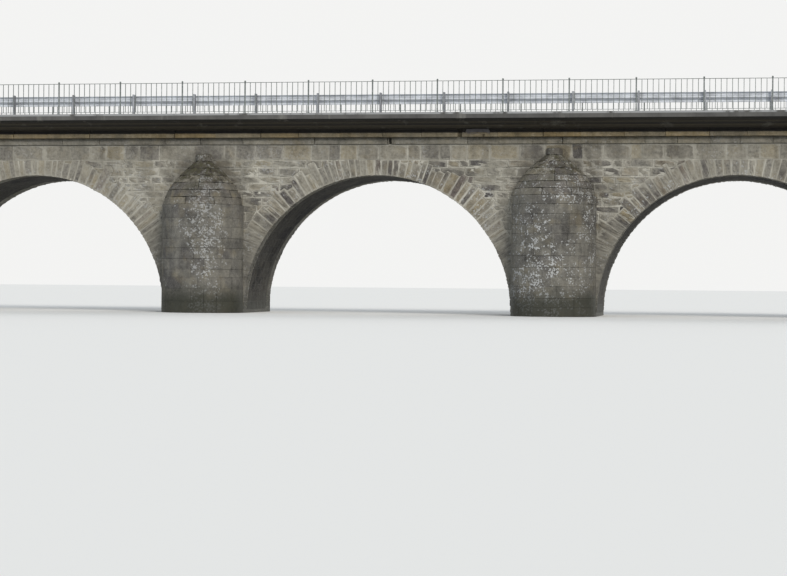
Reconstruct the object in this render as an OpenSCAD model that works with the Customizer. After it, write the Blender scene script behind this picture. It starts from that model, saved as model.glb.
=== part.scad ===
// Three-span stone arch bridge with a later cantilevered concrete deck.
// X runs along the bridge, the upstream face looks towards -Y, Z is up.
// The origin is at the bottom centre, on the level where the piers stand.

/* [Arches] */
// Inside radius of the semicircular arches
arch_radius = 4200; // [3600:50:4400]
// Thickness of the vault, and of the ring at its crown
crown_thickness = 470; // [350:10:560]
// Longest face stone of the arch ring, measured outwards
ring_length = 700; // [600:10:800]
// Depth of the face stones into the bridge
face_depth = 500; // [300:10:700]
// Height of the springing above the level where the piers stand
spring_height = 100; // [50:10:1500]
// Height of the solid backing behind the vaults, above the springing
backing_height = 2500; // [1500:50:3200]

/* [Piers and ends] */
// Width of a pier between two arches, and of its cutwaters
pier_width = 2600; // [2000:50:3200]
// Length of the masonry beyond the outer arches
abutment_length = 2900; // [1500:50:3400]
// Thickness of the wall that closes each end
end_wall = 600; // [400:10:900]
// Masonry width across the bridge, face to face
bridge_width = 3500; // [3000:50:4500]

/* [Cutwaters] */
// Drop from the string course to the cap joint of the left pier
cap_drop_left = 1900; // [1500:10:2400]
// Drop from the string course to the cap joint of the right pier
cap_drop_right = 1600; // [1500:10:2400]
// Height of the left pier's sloping cap with its crown stone
cap_height_left = 1610; // [1000:10:1800]
// Height of the right pier's sloping cap with its crown stone
cap_height_right = 1470; // [1000:10:1500]
// Number of courses in the cap, with the crown stone
cap_steps = 7; // [4:1:8]
// How much the slope of the cap bulges, 1 is a straight cone
cap_bulge = 1.7; // [1:0.1:2.5]
// Radius of the crown stone as a share of the cap's
crown_share = 0.2; // [0.15:0.01:0.4]

/* [Upper courses] */
// Height of the course of large blocks over the crowns
top_course_height = 480; // [400:10:600]
// Height of the string course
string_height = 210; // [150:10:300]
// Projection of the string course from the face
string_projection = 50; // [30:5:100]
// Height of the cornice
cornice_height = 260; // [240:10:320]
// Height of the flat front band of the cornice
cornice_band = 130; // [90:5:150]
// Projection of the cornice from the face
cornice_projection = 200; // [180:10:300]
// Depth of the sloped weathering on the cornice
cornice_slope = 110; // [60:5:130]
// Height of the fillet on top of the cornice
cornice_fillet = 35; // [20:5:50]
// Width of the drain notch in the string course
notch_width = 100; // [60:10:160]
// Depth of the drain notch
notch_depth = 180; // [100:10:250]
// Place of the drain notch along the bridge
notch_x = 430; // [-1000:10:1000]
// Width of the lost piece of the front cornice
break_width = 130; // [60:10:400]
// Place of the lost piece of the front cornice
break_x = 2600; // [2000:10:3200]
// Depth of the lost piece of the front cornice
break_depth = 170; // [80:10:180]

/* [Deck] */
// Overhang of the deck slab from the masonry face
slab_overhang = 840; // [600:10:1000]
// Height of the slab's edge
slab_edge = 180; // [120:5:240]
// Height of the slab where it rests on the cornice
slab_root = 440; // [380:10:550]
// Thickness of the asphalt
road_thickness = 60; // [30:5:90]
// Thickness of the footway layer
footway_thickness = 30; // [20:5:60]
// Strip of bare slab along each edge, for the railings
edge_strip = 250; // [180:10:350]
// Width of the kerb
kerb_width = 150; // [100:10:200]
// Height of the kerb above the slab
kerb_height = 120; // [100:10:160]

/* [Railings] */
// Distance wanted between posts, for the railings and the guardrail
post_pitch = 2000; // [1800:20:2200]
// Distance from the slab's end to the middle of the end posts
end_margin = 100; // [100:10:200]
// Height of the top rail above the slab
rail_height = 960; // [850:10:1100]
// Side of a railing post
rail_post = 40; // [30:2:50]
// Height of the post above the top rail, without its knob
rail_post_over = 12; // [6:2:30]
// Diameter of the knob on a post
knob_size = 56; // [44:2:70]
// Height of the top rail
top_rail_height = 14; // [10:2:24]
// Width of the top rail
top_rail_width = 40; // [30:2:50]
// Height of the bottom rail
bottom_rail_height = 12; // [8:2:24]
// Width of the bottom rail
bottom_rail_width = 30; // [20:2:40]
// Gap under the bottom rail
bottom_gap = 55; // [30:5:120]
// Side of a railing bar
bar_size = 18; // [12:1:20]
// Bars between two posts
bars = 11; // [7:1:13]
// Distance from the slab's edge to the railing's centre line
rail_inset = 50; // [40:5:80]

/* [Guardrail] */
// Distance from the slab's edge to the front of the guardrail posts
guard_inset = 1400; // [1200:10:1500]
// Depth of a guardrail post across the bridge
guard_post_depth = 120; // [90:5:140]
// Flange of a guardrail post along the bridge
guard_post_flange = 60; // [40:5:80]
// Sheet thickness of a guardrail post
guard_post_sheet = 6; // [4:1:8]
// Height of a guardrail post above the slab
guard_post_height = 745; // [720:5:800]
// Side of the foot plate of a guardrail post
foot_plate = 200; // [160:10:240]
// Thickness of the foot plate
foot_plate_thickness = 15; // [10:1:25]
// Height of the top of the guardrail beam above the slab
beam_top = 700; // [650:5:710]
// Height of the beam's profile
beam_height = 310; // [280:2:330]
// Depth of the beam's profile
beam_depth = 82; // [60:2:95]
// Sheet thickness of the beam
beam_sheet = 4; // [3:1:6]

/* [Hidden] */
$fn = 360;
arch_pitch = 2 * arch_radius + pier_width;
half_length = 1.5 * arch_pitch - pier_width / 2 + abutment_length;
half_width = bridge_width / 2;
core_half = half_width - face_depth;
ring_top = spring_height + arch_radius + crown_thickness;
string_z = ring_top + top_course_height;
cornice_z = string_z + string_height;
slab_z = cornice_z + cornice_height;
deck_z = slab_z + slab_root;
backing_z = spring_height + backing_height;
slab_half = half_width + slab_overhang;
cornice_shoulder = half_width + cornice_projection - cornice_slope;
cutwater_radius = pier_width / 2;
rail_run = half_length - end_margin;
half_panels = round(rail_run / post_pitch);
pitch = rail_run / half_panels;
guard_y = -slab_half + guard_inset;
beam_y = guard_y + guard_post_depth;
plate_clearance = 10;
plate_front = guard_y + (guard_post_depth - foot_plate) / 2;
kerb_y = plate_front + foot_plate + plate_clearance;

// Extrudes an outline drawn in X and Z from y0 to y1.
module across(y0, y1) {
    translate([0, y1, 0]) rotate([90, 0, 0]) linear_extrude(y1 - y0) children();
}

// Extrudes an outline drawn in Y and Z over the whole length.
module along(x0, x1) {
    translate([x0, 0, 0]) rotate([90, 0, 90]) linear_extrude(x1 - x0) children();
}

// Rectangle given by its corners.
module field(x0, z0, x1, z1) {
    translate([x0, z0]) square([x1 - x0, z1 - z0]);
}

// Mirrors the front to the back.
module side(front) {
    if (front) children(); else mirror([0, 1, 0]) children();
}

// Mirrors the right end to the left.
module hand(s) {
    if (s > 0) children(); else mirror([1, 0, 0]) children();
}

// Full discs around the arch centres.
module arch_discs(r) {
    for (k = [-1 : 1]) translate([k * arch_pitch, spring_height]) circle(r = r);
}

// Upper half of one ring, cut off level at the top.
module half_ring(k, outer) {
    intersection() {
        translate([k * arch_pitch, spring_height]) difference() {
            circle(r = outer);
            circle(r = arch_radius);
        }
        field(k * arch_pitch - outer, spring_height, k * arch_pitch + outer, ring_top);
    }
}

module arch_barrel(k) {
    color("#8d887a") across(-core_half, core_half)
        half_ring(k, arch_radius + crown_thickness);
}

module arch_ring(k, front) {
    color("#a39d8b") side(front) across(-half_width, -core_half)
        half_ring(k, arch_radius + ring_length);
}

module pier(s) {
    x = s * arch_pitch / 2;
    color("#9a9484") {
        across(-half_width, half_width)
            field(x - pier_width / 2, 0, x + pier_width / 2, spring_height);
        across(-core_half, core_half) difference() {
            field(x - arch_pitch / 2, spring_height, x + arch_pitch / 2, backing_z);
            arch_discs(arch_radius + crown_thickness);
        }
    }
}

module abutment(s) {
    inner = arch_pitch + arch_radius;
    color("#9a9484") hand(s) {
        across(-half_width, half_width) field(inner, 0, half_length, spring_height);
        across(-core_half, core_half) {
            difference() {
                field(arch_pitch, spring_height, half_length, backing_z);
                arch_discs(arch_radius + crown_thickness);
            }
            field(half_length - end_wall, backing_z, half_length, slab_z);
        }
    }
}

module spandrel_wall(front) {
    color("#a39d8b") side(front) across(-half_width, -core_half) difference() {
        field(-half_length, spring_height, half_length, ring_top);
        arch_discs(arch_radius + ring_length);
    }
}

module spandrel_fill() {
    color("#7a7263") across(-core_half, core_half) difference() {
        field(-half_length + end_wall, backing_z, half_length - end_wall, slab_z);
        arch_discs(arch_radius + crown_thickness);
    }
}

module top_course(front) {
    color("#a7a08d") side(front) across(-half_width, -core_half)
        field(-half_length, ring_top, half_length, string_z);
}

// Half disc in front of the face, at the place of one pier.
module nose_outline(s, r) {
    translate([s * arch_pitch / 2, -half_width]) intersection() {
        circle(r = r);
        translate([-r, -r]) square([2 * r, r]);
    }
}

function cap_z(s) = string_z - (s < 0 ? cap_drop_left : cap_drop_right);

module cutwater(s, front) {
    color("#a8a494") side(front) linear_extrude(cap_z(s)) nose_outline(s, cutwater_radius);
}

function cap_radius(i) = cutwater_radius
    * (1 - (1 - crown_share) * pow(min(i / (cap_steps - 1), 1), cap_bulge));
// The crown stone stays under the string course.
function cap_height(s) = min(s < 0 ? cap_height_left : cap_height_right, string_z - cap_z(s) - 20);

module cutwater_cap(s, front) {
    step = floor(cap_height(s) / cap_steps);
    color("#98927f") side(front) for (i = [0 : cap_steps - 1])
        translate([s * arch_pitch / 2, -half_width, cap_z(s) + i * step]) intersection() {
            cylinder(h = step, r1 = cap_radius(i), r2 = cap_radius(i + 1));
            translate([-cutwater_radius, -cutwater_radius, 0])
                cube([2 * cutwater_radius, cutwater_radius, step]);
        }
}

module string_course(front) {
    color("#b0aa95") side(front) difference() {
        along(-half_length, half_length)
            field(-half_width - string_projection, string_z, -core_half, cornice_z);
        if (front) translate([notch_x - notch_width / 2, -half_width - string_projection - 1, string_z - 1])
            cube([notch_width, notch_depth + 1, string_height + 2]);
    }
}

module cornice(front) {
    nose = half_width + cornice_projection;
    color("#a59c80") side(front) difference() {
        along(-half_length, half_length) polygon([
            [-core_half, cornice_z], [-nose, cornice_z], [-nose, cornice_z + cornice_band],
            [-cornice_shoulder, slab_z - cornice_fillet], [-cornice_shoulder, slab_z],
            [-core_half, slab_z]
        ]);
        if (front) translate([break_x - break_width / 2, -nose - 1, cornice_z - 1])
            cube([break_width, break_depth + 1, cornice_height + 2]);
    }
}

module deck_slab() {
    color("#8f8c83") along(-half_length, half_length) polygon([
        [-cornice_shoulder, slab_z], [-slab_half, deck_z - slab_edge], [-slab_half, deck_z],
        [slab_half, deck_z], [slab_half, deck_z - slab_edge], [cornice_shoulder, slab_z]
    ]);
}

module footway() {
    color("#8b8a86") along(-half_length, half_length)
        field(-slab_half + edge_strip, deck_z, plate_front - plate_clearance, deck_z + footway_thickness);
}

module kerb() {
    color("#a3a19a") along(-half_length, half_length)
        field(kerb_y, deck_z, kerb_y + kerb_width, deck_z + kerb_height);
}

module roadway() {
    color("#3f4042") along(-half_length, half_length)
        field(kerb_y + kerb_width, deck_z, slab_half - edge_strip, deck_z + road_thickness);
}

module railing_posts(front) {
    color("#5f655f") side(front) for (k = [-half_panels : half_panels])
        translate([k * pitch, -slab_half + rail_inset, deck_z]) {
            translate([-rail_post / 2, -rail_post / 2, 0])
                cube([rail_post, rail_post, rail_height + rail_post_over]);
            translate([0, 0, rail_height + rail_post_over + knob_size * 0.35])
                sphere(d = knob_size, $fn = 24);
        }
}

module railing_panels(front) {
    clear = pitch - rail_post;
    step = pitch / (bars + 1);
    color("#6a706a") side(front) for (k = [-half_panels : half_panels - 1])
        translate([k * pitch + rail_post / 2, -slab_half + rail_inset, deck_z]) {
            translate([0, -top_rail_width / 2, rail_height - top_rail_height])
                cube([clear, top_rail_width, top_rail_height]);
            translate([0, -bottom_rail_width / 2, bottom_gap])
                cube([clear, bottom_rail_width, bottom_rail_height]);
            for (i = [1 : bars])
                translate([i * step - rail_post / 2 - bar_size / 2, -bar_size / 2, bottom_gap])
                    cube([bar_size, bar_size, rail_height - top_rail_height - bottom_gap]);
        }
}

module guardrail_posts() {
    color("#b4b8b8") for (k = [-half_panels : half_panels])
        translate([k * pitch, guard_y, deck_z]) {
            translate([-foot_plate / 2, (guard_post_depth - foot_plate) / 2, 0])
                cube([foot_plate, foot_plate, foot_plate_thickness]);
            linear_extrude(guard_post_height) difference() {
                translate([-guard_post_flange / 2, 0]) square([guard_post_flange, guard_post_depth]);
                translate([-guard_post_flange / 2 + guard_post_sheet, guard_post_sheet])
                    square([guard_post_flange, guard_post_depth - 2 * guard_post_sheet]);
            }
        }
}

// Corrugated profile, as depth and height from its middle.
function beam_line() = [
    [0.30, -0.50], [0.75, -0.44], [1.00, -0.36], [1.00, -0.26], [0.12, -0.09], [0.00, -0.06],
    [0.00, 0.06], [0.12, 0.09], [1.00, 0.26], [1.00, 0.36], [0.75, 0.44], [0.30, 0.50]
];

module guardrail_beam() {
    reach = beam_depth - beam_sheet;
    last = len(beam_line()) - 1;
    front_side = [for (p = beam_line()) [p[0] * reach, p[1] * beam_height]];
    rear_side = [for (i = [last : -1 : 0]) front_side[i] + [beam_sheet, 0]];
    color("#c3c7c8") along(-rail_run - foot_plate / 2, rail_run + foot_plate / 2)
        translate([beam_y, deck_z + beam_top - beam_height / 2])
            polygon(concat(front_side, rear_side));
}

pier(-1);  // pier_left
pier(1);  // pier_right
abutment(-1);  // abutment_left
abutment(1);  // abutment_right
arch_barrel(-1);  // arch_barrel_left
arch_barrel(0);  // arch_barrel_centre
arch_barrel(1);  // arch_barrel_right
arch_ring(-1, true);  // arch_ring_front_left
arch_ring(0, true);  // arch_ring_front_centre
arch_ring(1, true);  // arch_ring_front_right
arch_ring(-1, false);  // arch_ring_back_left
arch_ring(0, false);  // arch_ring_back_centre
arch_ring(1, false);  // arch_ring_back_right
spandrel_wall(true);  // spandrel_wall_front
spandrel_wall(false);  // spandrel_wall_back
spandrel_fill();
top_course(true);  // top_course_front
top_course(false);  // top_course_back
cutwater(-1, true);  // cutwater_front_left
cutwater(1, true);  // cutwater_front_right
cutwater(-1, false);  // cutwater_back_left
cutwater(1, false);  // cutwater_back_right
cutwater_cap(-1, true);  // cutwater_cap_front_left
cutwater_cap(1, true);  // cutwater_cap_front_right
cutwater_cap(-1, false);  // cutwater_cap_back_left
cutwater_cap(1, false);  // cutwater_cap_back_right
string_course(true);  // string_course_front
string_course(false);  // string_course_back
cornice(true);  // cornice_front
cornice(false);  // cornice_back
deck_slab();
footway();
kerb();
roadway();
railing_posts(true);  // railing_posts_front
railing_posts(false);  // railing_posts_back
railing_panels(true);  // railing_panels_front
railing_panels(false);  // railing_panels_back
guardrail_posts();
guardrail_beam();
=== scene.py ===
# %% [markdown]
# # A stone arch bridge with a widened deck
#
# The bridge is a masonry one: three half-round arches of long thin face stones, spandrel walls of small
# coursed stones in wide pale mortar, one course of large blocks, a string course and a cornice. Its piers
# have round noses with sloping caps. Later a concrete slab was laid on top, wider than the masonry, with
# steel railings along both edges and a steel guardrail between the walk and the road.
#
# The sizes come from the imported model, which is loaded first and stays as it is. Its walls serve as the
# mortar that the stones are bedded in. What it can't show, the single stones, bolts, bends and finishes,
# is modelled below, each piece by the tools that a modeller would use by hand.

# %% Load the fixed frame
import math
import random

import bmesh
import bpy
from mathutils import Matrix, Vector


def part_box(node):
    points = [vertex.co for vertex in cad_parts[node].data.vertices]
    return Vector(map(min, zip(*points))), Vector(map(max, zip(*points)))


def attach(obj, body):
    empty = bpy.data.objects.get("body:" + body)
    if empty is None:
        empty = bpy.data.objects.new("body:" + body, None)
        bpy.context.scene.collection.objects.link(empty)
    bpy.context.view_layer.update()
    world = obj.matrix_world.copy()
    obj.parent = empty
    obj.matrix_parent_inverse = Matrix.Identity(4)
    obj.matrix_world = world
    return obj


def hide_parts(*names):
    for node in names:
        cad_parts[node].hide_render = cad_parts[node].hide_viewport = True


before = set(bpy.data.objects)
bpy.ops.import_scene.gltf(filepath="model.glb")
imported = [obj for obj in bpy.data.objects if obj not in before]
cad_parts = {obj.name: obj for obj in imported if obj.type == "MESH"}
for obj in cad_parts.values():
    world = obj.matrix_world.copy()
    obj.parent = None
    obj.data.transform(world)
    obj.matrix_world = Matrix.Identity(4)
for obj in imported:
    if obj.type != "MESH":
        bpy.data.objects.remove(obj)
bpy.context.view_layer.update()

# %% [markdown]
# ## The places that everything shares
#
# Each height is read from the frame, so that the stones sit where the walls are. X runs along the bridge,
# the photographed face looks towards -Y, and the arches' centres lie on one level, the springing. One
# pitch, one radius and one pier width repeat three times.

# %% Read the bridge's levels from the frame
low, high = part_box("arch_ring_front_centre")
spring = low.z
ring_top = high.z
face_y = -low.y
inner_y = -high.y
half_span = 4.2
arch_pitch = 2 * half_span + (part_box("cutwater_front_left")[1].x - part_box("cutwater_front_left")[0].x)
pier_x = arch_pitch / 2
string_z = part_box("string_course_front")[0].z
cornice_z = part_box("cornice_front")[0].z
slab_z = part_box("deck_slab")[0].z
deck_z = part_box("deck_slab")[1].z
slab_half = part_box("deck_slab")[1].y
half_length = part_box("deck_slab")[1].x
cap_z = {-1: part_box("cutwater_cap_front_left")[0].z, 1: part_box("cutwater_cap_front_right")[0].z}
print("springing", round(spring, 3), "ring top", round(ring_top, 3), "pitch", round(arch_pitch, 3), "deck", round(deck_z, 3))

# %% [markdown]
# ## Working by hand, in code
#
# Every operator acts on what is selected, and the frame comes in selected, so each step starts from
# nothing selected. Faces and edges are then picked by their place or by where they look, as one would
# click them. A finished piece keeps its object at the origin, with its place in its mesh.

# %% Selecting and editing
def nothing():
    if bpy.context.mode != "OBJECT":
        bpy.ops.object.mode_set(mode="OBJECT")
    bpy.ops.object.select_all(action="DESELECT")


def only(thing):
    nothing()
    thing.select_set(True)
    bpy.context.view_layer.objects.active = thing
    return thing


def place(thing):
    """Moves the object's place into its mesh."""
    only(thing)
    bpy.ops.object.transform_apply(location=True, rotation=True, scale=True)
    return thing


def pick(kind, test):
    """Selects the faces, edges or verts of the piece in edit mode that pass the test."""
    mesh = bpy.context.object.data
    bpy.ops.mesh.select_mode(type={"faces": "FACE", "edges": "EDGE", "verts": "VERT"}[kind])
    bpy.ops.mesh.select_all(action="DESELECT")
    shape = bmesh.from_edit_mesh(mesh)
    count = 0
    for part in getattr(shape, kind):
        if test(part):
            part.select_set(True)
            count += 1
    shape.select_flush_mode()
    bmesh.update_edit_mesh(mesh)
    return count


def middle(part):
    return sum((v.co for v in part.verts), Vector()) / len(part.verts)


def finish(thing, kind, **values):
    """Adds one modifier and applies it."""
    only(thing)
    bpy.ops.object.modifier_add(type=kind)
    modifier = thing.modifiers[-1]
    for name, value in values.items():
        setattr(modifier, name, value)
    bpy.ops.object.modifier_apply(modifier=modifier.name)
    return thing


# %% Copying and joining
def lay(master, matrix):
    """A copy of a modelled stone with its own mesh, laid in place."""
    copy = master.copy()
    copy.data = master.data.copy()
    copy.data.transform(matrix)
    bpy.context.scene.collection.objects.link(copy)
    return copy


def gather(name, parts):
    """Joins loose parts to one piece of the bridge."""
    nothing()
    for part in parts:
        part.select_set(True)
    bpy.context.view_layer.objects.active = parts[0]
    bpy.ops.object.join()
    piece = bpy.context.object
    piece.name = piece.data.name = name
    return piece


def scrap(*things):
    for thing in things:
        bpy.data.objects.remove(thing)


def report(piece):
    piece.data.calc_loop_triangles()
    print(piece.name, len(piece.data.loop_triangles), "triangles")


# %% [markdown]
# ## One stone, then many
#
# A mason's stone is a block whose face was worked and whose arrises are a little broken. It could be
# a plain box with a bump in its material, but then its joints would look drawn on. Here a cube is
# brought to the size of a usual stone, the arrises of its face are bevelled, the face is subdivided and
# its points are randomised, so that it catches light unevenly. A few such masters with different faces,
# copied, stretched a little and turned, make a wall in which no two stones look alike. Each master also
# carries an attribute, rim, that is 1 at its edges and 0 inside its face. It travels with the copies, and
# the finish will use it to smear mortar over the edges of the stones.

# %% Model a stone block
def block(width, depth, height, arris, cuts, wobble, seed, seen=((0, -1, 0),), outer=1.0):
    """A stone with its middle at the origin. seen lists the directions that its worked faces look in."""
    nothing()
    bpy.ops.mesh.primitive_cube_add(size=1, scale=(width, depth, height))
    stone = place(bpy.context.object)
    looks = [Vector(way) for way in seen]
    bpy.ops.object.mode_set(mode="EDIT")
    if outer != 1.0:
        pick("faces", lambda f: f.normal.z > 0.9)
        bpy.ops.transform.resize(value=(outer, 1, 1))
    pick("edges", lambda e: any(f.normal.dot(way) > 0.9 for f in e.link_faces for way in looks))
    bpy.ops.mesh.bevel(offset=arris, segments=2, profile=0.6, affect="EDGES")
    pick("faces", lambda f: any(f.normal.dot(way) > 0.97 for way in looks) and f.calc_area() > 0.4 * height * min(width, depth))
    bpy.ops.mesh.subdivide(number_cuts=cuts)
    if wobble:
        bpy.ops.transform.vertex_random(offset=wobble, uniform=0.0, normal=1.0, seed=seed)
    bpy.ops.object.mode_set(mode="OBJECT")
    rim = stone.data.attributes.new("rim", "FLOAT", "POINT")
    for vertex in stone.data.vertices:
        inside = abs(vertex.co.x) < 0.4 * width and abs(vertex.co.z) < 0.4 * height
        rim.data[vertex.index].value = 0.0 if inside else 1.0
    return stone


wall_masters = [block(0.40, 0.11, 0.21, 0.012, 2, 0.012, seed) for seed in (3, 8, 13, 21)]
course_masters = [block(0.80, 0.11, 0.455, 0.012, 4, 0.005, seed) for seed in (5, 17, 29)]
print("masters:", len(wall_masters), "small,", len(course_masters), "large, faces", len(wall_masters[0].data.polygons))

# %% [markdown]
# ## The face rings of the arches
#
# Each arch shows a ring of long thin stones set on edge, between a hand's length and an arm's length
# of them reaching into the wall, so that the ring has a ragged back. The stones are wedges: the joints
# run to the arch's centre. One wedge is modelled, and its copies are turned around the centre. Their
# widths and lengths differ, as they do on the bridge. Near the crown they are cut off level, where the
# course of large blocks lies on them.

# %% Choose the stones of a ring
def ring_plan(rng):
    """Start and end of each stone in half degrees, and how far it reaches out from the arch."""
    marks = [0]
    while marks[-1] < 360:
        step = rng.choice((4, 5, 6, 6, 7))
        marks.append(360 if 360 - marks[-1] - step < 4 else marks[-1] + step)
    return [(a, b, rng.uniform(0.44, 0.86)) for a, b in zip(marks, marks[1:])]


wedge_masters = [block(0.20, 0.5, 0.62, 0.009, 3, 0.009, seed, seen=((0, -1, 0), (0, 0, -1)), outer=1.148) for seed in (2, 7, 11)]
proud = 0.005


def ring_stones(name, plan, centre_x, rng):
    """The wedges of one ring, on the photographed face."""
    parts = []
    for start, end, reach in plan:
        angle = math.radians((start + end) / 4)
        wide = half_span * math.radians((end - start) / 2) - rng.uniform(0.018, 0.038)
        flush = min(max((2.6 - (half_span + reach / 2) * math.sin(angle)) / 1.0, 0.0), 1.0)
        out = proud + rng.uniform(0.0, 0.006) - 0.007 * flush
        matrix = (Matrix.Translation((centre_x, -face_y - out + 0.25, spring))
                  @ Matrix.Rotation(math.pi / 2 - angle, 4, "Y")
                  @ Matrix.Translation((0, 0, half_span - proud + reach / 2))
                  @ Matrix.Diagonal((wide / 0.20, 1, reach / 0.62, 1)))
        parts.append(lay(rng.choice(wedge_masters), matrix))
    piece = only(gather(name, parts))
    bpy.ops.object.mode_set(mode="EDIT")
    bpy.ops.mesh.select_all(action="SELECT")
    bpy.ops.mesh.bisect(plane_co=(0, 0, ring_top - 0.012), plane_no=(0, 0, 1), use_fill=True, clear_outer=True)
    nothing()
    return piece


# %% [markdown]
# ## The spandrel walls
#
# The walls are laid in uneven courses of small stones. Straight rows of boxes would look like brick, so
# each course has its own height, each stone its own length, and the whole wall is wavered a little
# afterwards by two Displace modifiers, one along the wall and one up it. Where the courses meet a ring,
# the stones are trimmed with a Boolean. Its cutter is a disc whose rim is pushed out wherever a ring
# stone reaches out, stone by stone.

# %% The cutter that follows the ring's ragged back
def ring_cutter(plan, centre_x):
    nothing()
    bpy.ops.mesh.primitive_circle_add(vertices=720, radius=half_span + 0.45, fill_type="NGON",
                                      location=(centre_x, -face_y - 0.2, spring), rotation=(math.pi / 2, 0, 0))
    cutter = place(bpy.context.object)
    centre = Vector((centre_x, -face_y - 0.2, spring))
    bpy.ops.object.mode_set(mode="EDIT")
    for start, end, reach in plan:
        def beside(v):
            turn = 2 * math.degrees(math.atan2(v.co.z - centre.z, v.co.x - centre.x))
            return start - 0.2 < turn < end - 0.2
        pick("verts", beside)
        size = (half_span + reach + 0.02) / (half_span + 0.45)
        bpy.ops.transform.resize(value=(size, 1, size), center_override=centre)
    bpy.ops.mesh.select_mode(type="FACE")
    bpy.ops.mesh.select_all(action="SELECT")
    bpy.ops.mesh.extrude_region_move(TRANSFORM_OT_translate={"value": (0, 0.5, 0)})
    bpy.ops.mesh.select_all(action="SELECT")
    bpy.ops.mesh.normals_make_consistent(inside=False)
    nothing()
    return cutter


# %% Lay the courses of a wall
def split(length, shortest, longest, rng):
    """Lengths of stones that fill a course."""
    sizes = []
    while length > longest:
        sizes.append(min(rng.uniform(shortest, longest), length - shortest))
        length -= sizes[-1]
    return sizes + [length]


def wall_stones(name, noses, cutters, rng):
    parts = []
    heights = split(ring_top - spring, 0.17, 0.30, rng)
    top = ring_top
    for tall in heights:
        left = -half_length + 0.02
        for long in split(2 * half_length - 0.04, 0.24, 0.82, rng):
            x, z = left + long / 2, top - tall / 2
            left += long
            hidden = any(abs(x - nose) + long / 2 < 1.1 and top < crown for nose, crown in noses)
            inside = any(math.hypot(abs(x - c) + long / 2, top - spring) < half_span + 0.5 for c in (-arch_pitch, 0, arch_pitch))
            if hidden or inside:
                continue
            joint = rng.uniform(0.020, 0.042)
            turned = Matrix.Rotation(rng.choice((0, math.pi)), 4, "Y")
            out = proud + rng.uniform(-0.003, 0.007)
            matrix = (Matrix.Translation((x, -face_y - out + 0.055, z)) @ turned
                      @ Matrix.Diagonal(((long - joint) / 0.40, 1, (tall - joint) / 0.21, 1)))
            parts.append(lay(rng.choice(wall_masters), matrix))
        top -= tall
    piece = gather(name, parts)
    finish(piece, "BOOLEAN", operation="DIFFERENCE", object=gather(name + "_cutter", cutters), solver="MANIFOLD")
    scrap(bpy.data.objects[name + "_cutter"])
    return piece


def block_course(name, bottom, top, rng):
    """The course of large blocks above the crowns."""
    parts, left = [], -half_length + 0.015
    for long in split(2 * half_length - 0.03, 0.28, 1.10, rng):
        joint = rng.uniform(0.014, 0.024)
        matrix = (Matrix.Translation((left + long / 2, -face_y - proud - rng.uniform(0, 0.006) + 0.055, (top + bottom) / 2 - 0.004))
                  @ Matrix.Rotation(rng.choice((0, math.pi)), 4, "Y")
                  @ Matrix.Diagonal(((long - joint) / 0.80, 1, (top - bottom - 0.02) / 0.455, 1)))
        parts.append(lay(rng.choice(course_masters), matrix))
        left += long
    return gather(name, parts)


# %% Waver the joints
waver = {}
for way, size in (("X", 0.55), ("Z", 0.75), ("X_fine", 0.13), ("Z_fine", 0.11)):
    waver[way] = bpy.data.textures.new("joint_waver_" + way, "CLOUDS")
    waver[way].noise_scale = size


def loosen(piece, strength, fine):
    """Sets the joints a little off their lines, along the wall and up it, and frays each stone's outline."""
    for way, amount in (("X", strength), ("Z", strength), ("X_fine", fine), ("Z_fine", fine)):
        finish(piece, "DISPLACE", texture=waver[way], texture_coords="LOCAL", direction=way[0], mid_level=0.5, strength=amount)
    return piece


# %% Build both faces of the masonry
masonry = {}
for side, turn, seed in (("front", 0, 41), ("back", math.pi, 97)):
    rng = random.Random(seed)
    names = ("left", "centre", "right") if side == "front" else ("right", "centre", "left")
    cutters = []
    for number, which in enumerate(names):
        plan = ring_plan(rng)
        centre_x = (number - 1) * arch_pitch
        masonry[f"ring_stones_{side}_{which}"] = ring_stones(f"ring_stones_{side}_{which}", plan, centre_x, rng)
        cutters.append(ring_cutter(plan, centre_x))
    hand = 1 if side == "front" else -1
    noses = [(-pier_x, cap_z[-hand]), (pier_x, cap_z[hand])]
    masonry[f"wall_stones_{side}"] = wall_stones(f"wall_stones_{side}", noses, cutters, rng)
    masonry[f"top_stones_{side}"] = block_course(f"top_stones_{side}", ring_top, string_z, rng)
    for name, piece in masonry.items():
        if f"_{side}" in name:
            loosen(piece, 0.05, 0.045) if "wall" in name else loosen(piece, 0.03, 0.03)
            piece.data.transform(Matrix.Rotation(turn, 4, "Z"))
            report(piece)

# %% [markdown]
# ## The vaults
#
# Behind the face rings, the vaults are lined with rectangular stones in courses along the arch's barrel.
# One stone with its worked face down is modelled and turned around the axis, course by course, with the
# joints of neighbouring courses staggered.

# %% Line the vaults
vault_master = block(0.25, 0.50, 0.10, 0.010, 1, 0.003, 4, seen=((0, 0, -1),))


def vault_stones(name, centre_x, rng):
    parts, courses = [], 50
    for row in range(courses):
        angle = math.pi * (row + 0.5) / courses
        wide = half_span * math.pi / courses - 0.016
        back = -inner_y
        for deep in split(2 * inner_y, 0.34, 0.66, rng):
            matrix = (Matrix.Translation((centre_x, back + deep / 2, spring))
                      @ Matrix.Rotation(math.pi / 2 - angle, 4, "Y")
                      @ Matrix.Translation((0, 0, half_span - proud - 0.001 + 0.05))
                      @ Matrix.Diagonal((wide / 0.25, (deep - 0.014) / 0.50, 1, 1)))
            parts.append(lay(vault_master, matrix))
            back += deep
    return gather(name, parts)


rng = random.Random(5)
for number, which in enumerate(("left", "centre", "right")):
    masonry[f"vault_stones_{which}"] = vault_stones(f"vault_stones_{which}", (number - 1) * arch_pitch, rng)
    report(masonry[f"vault_stones_{which}"])

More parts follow.
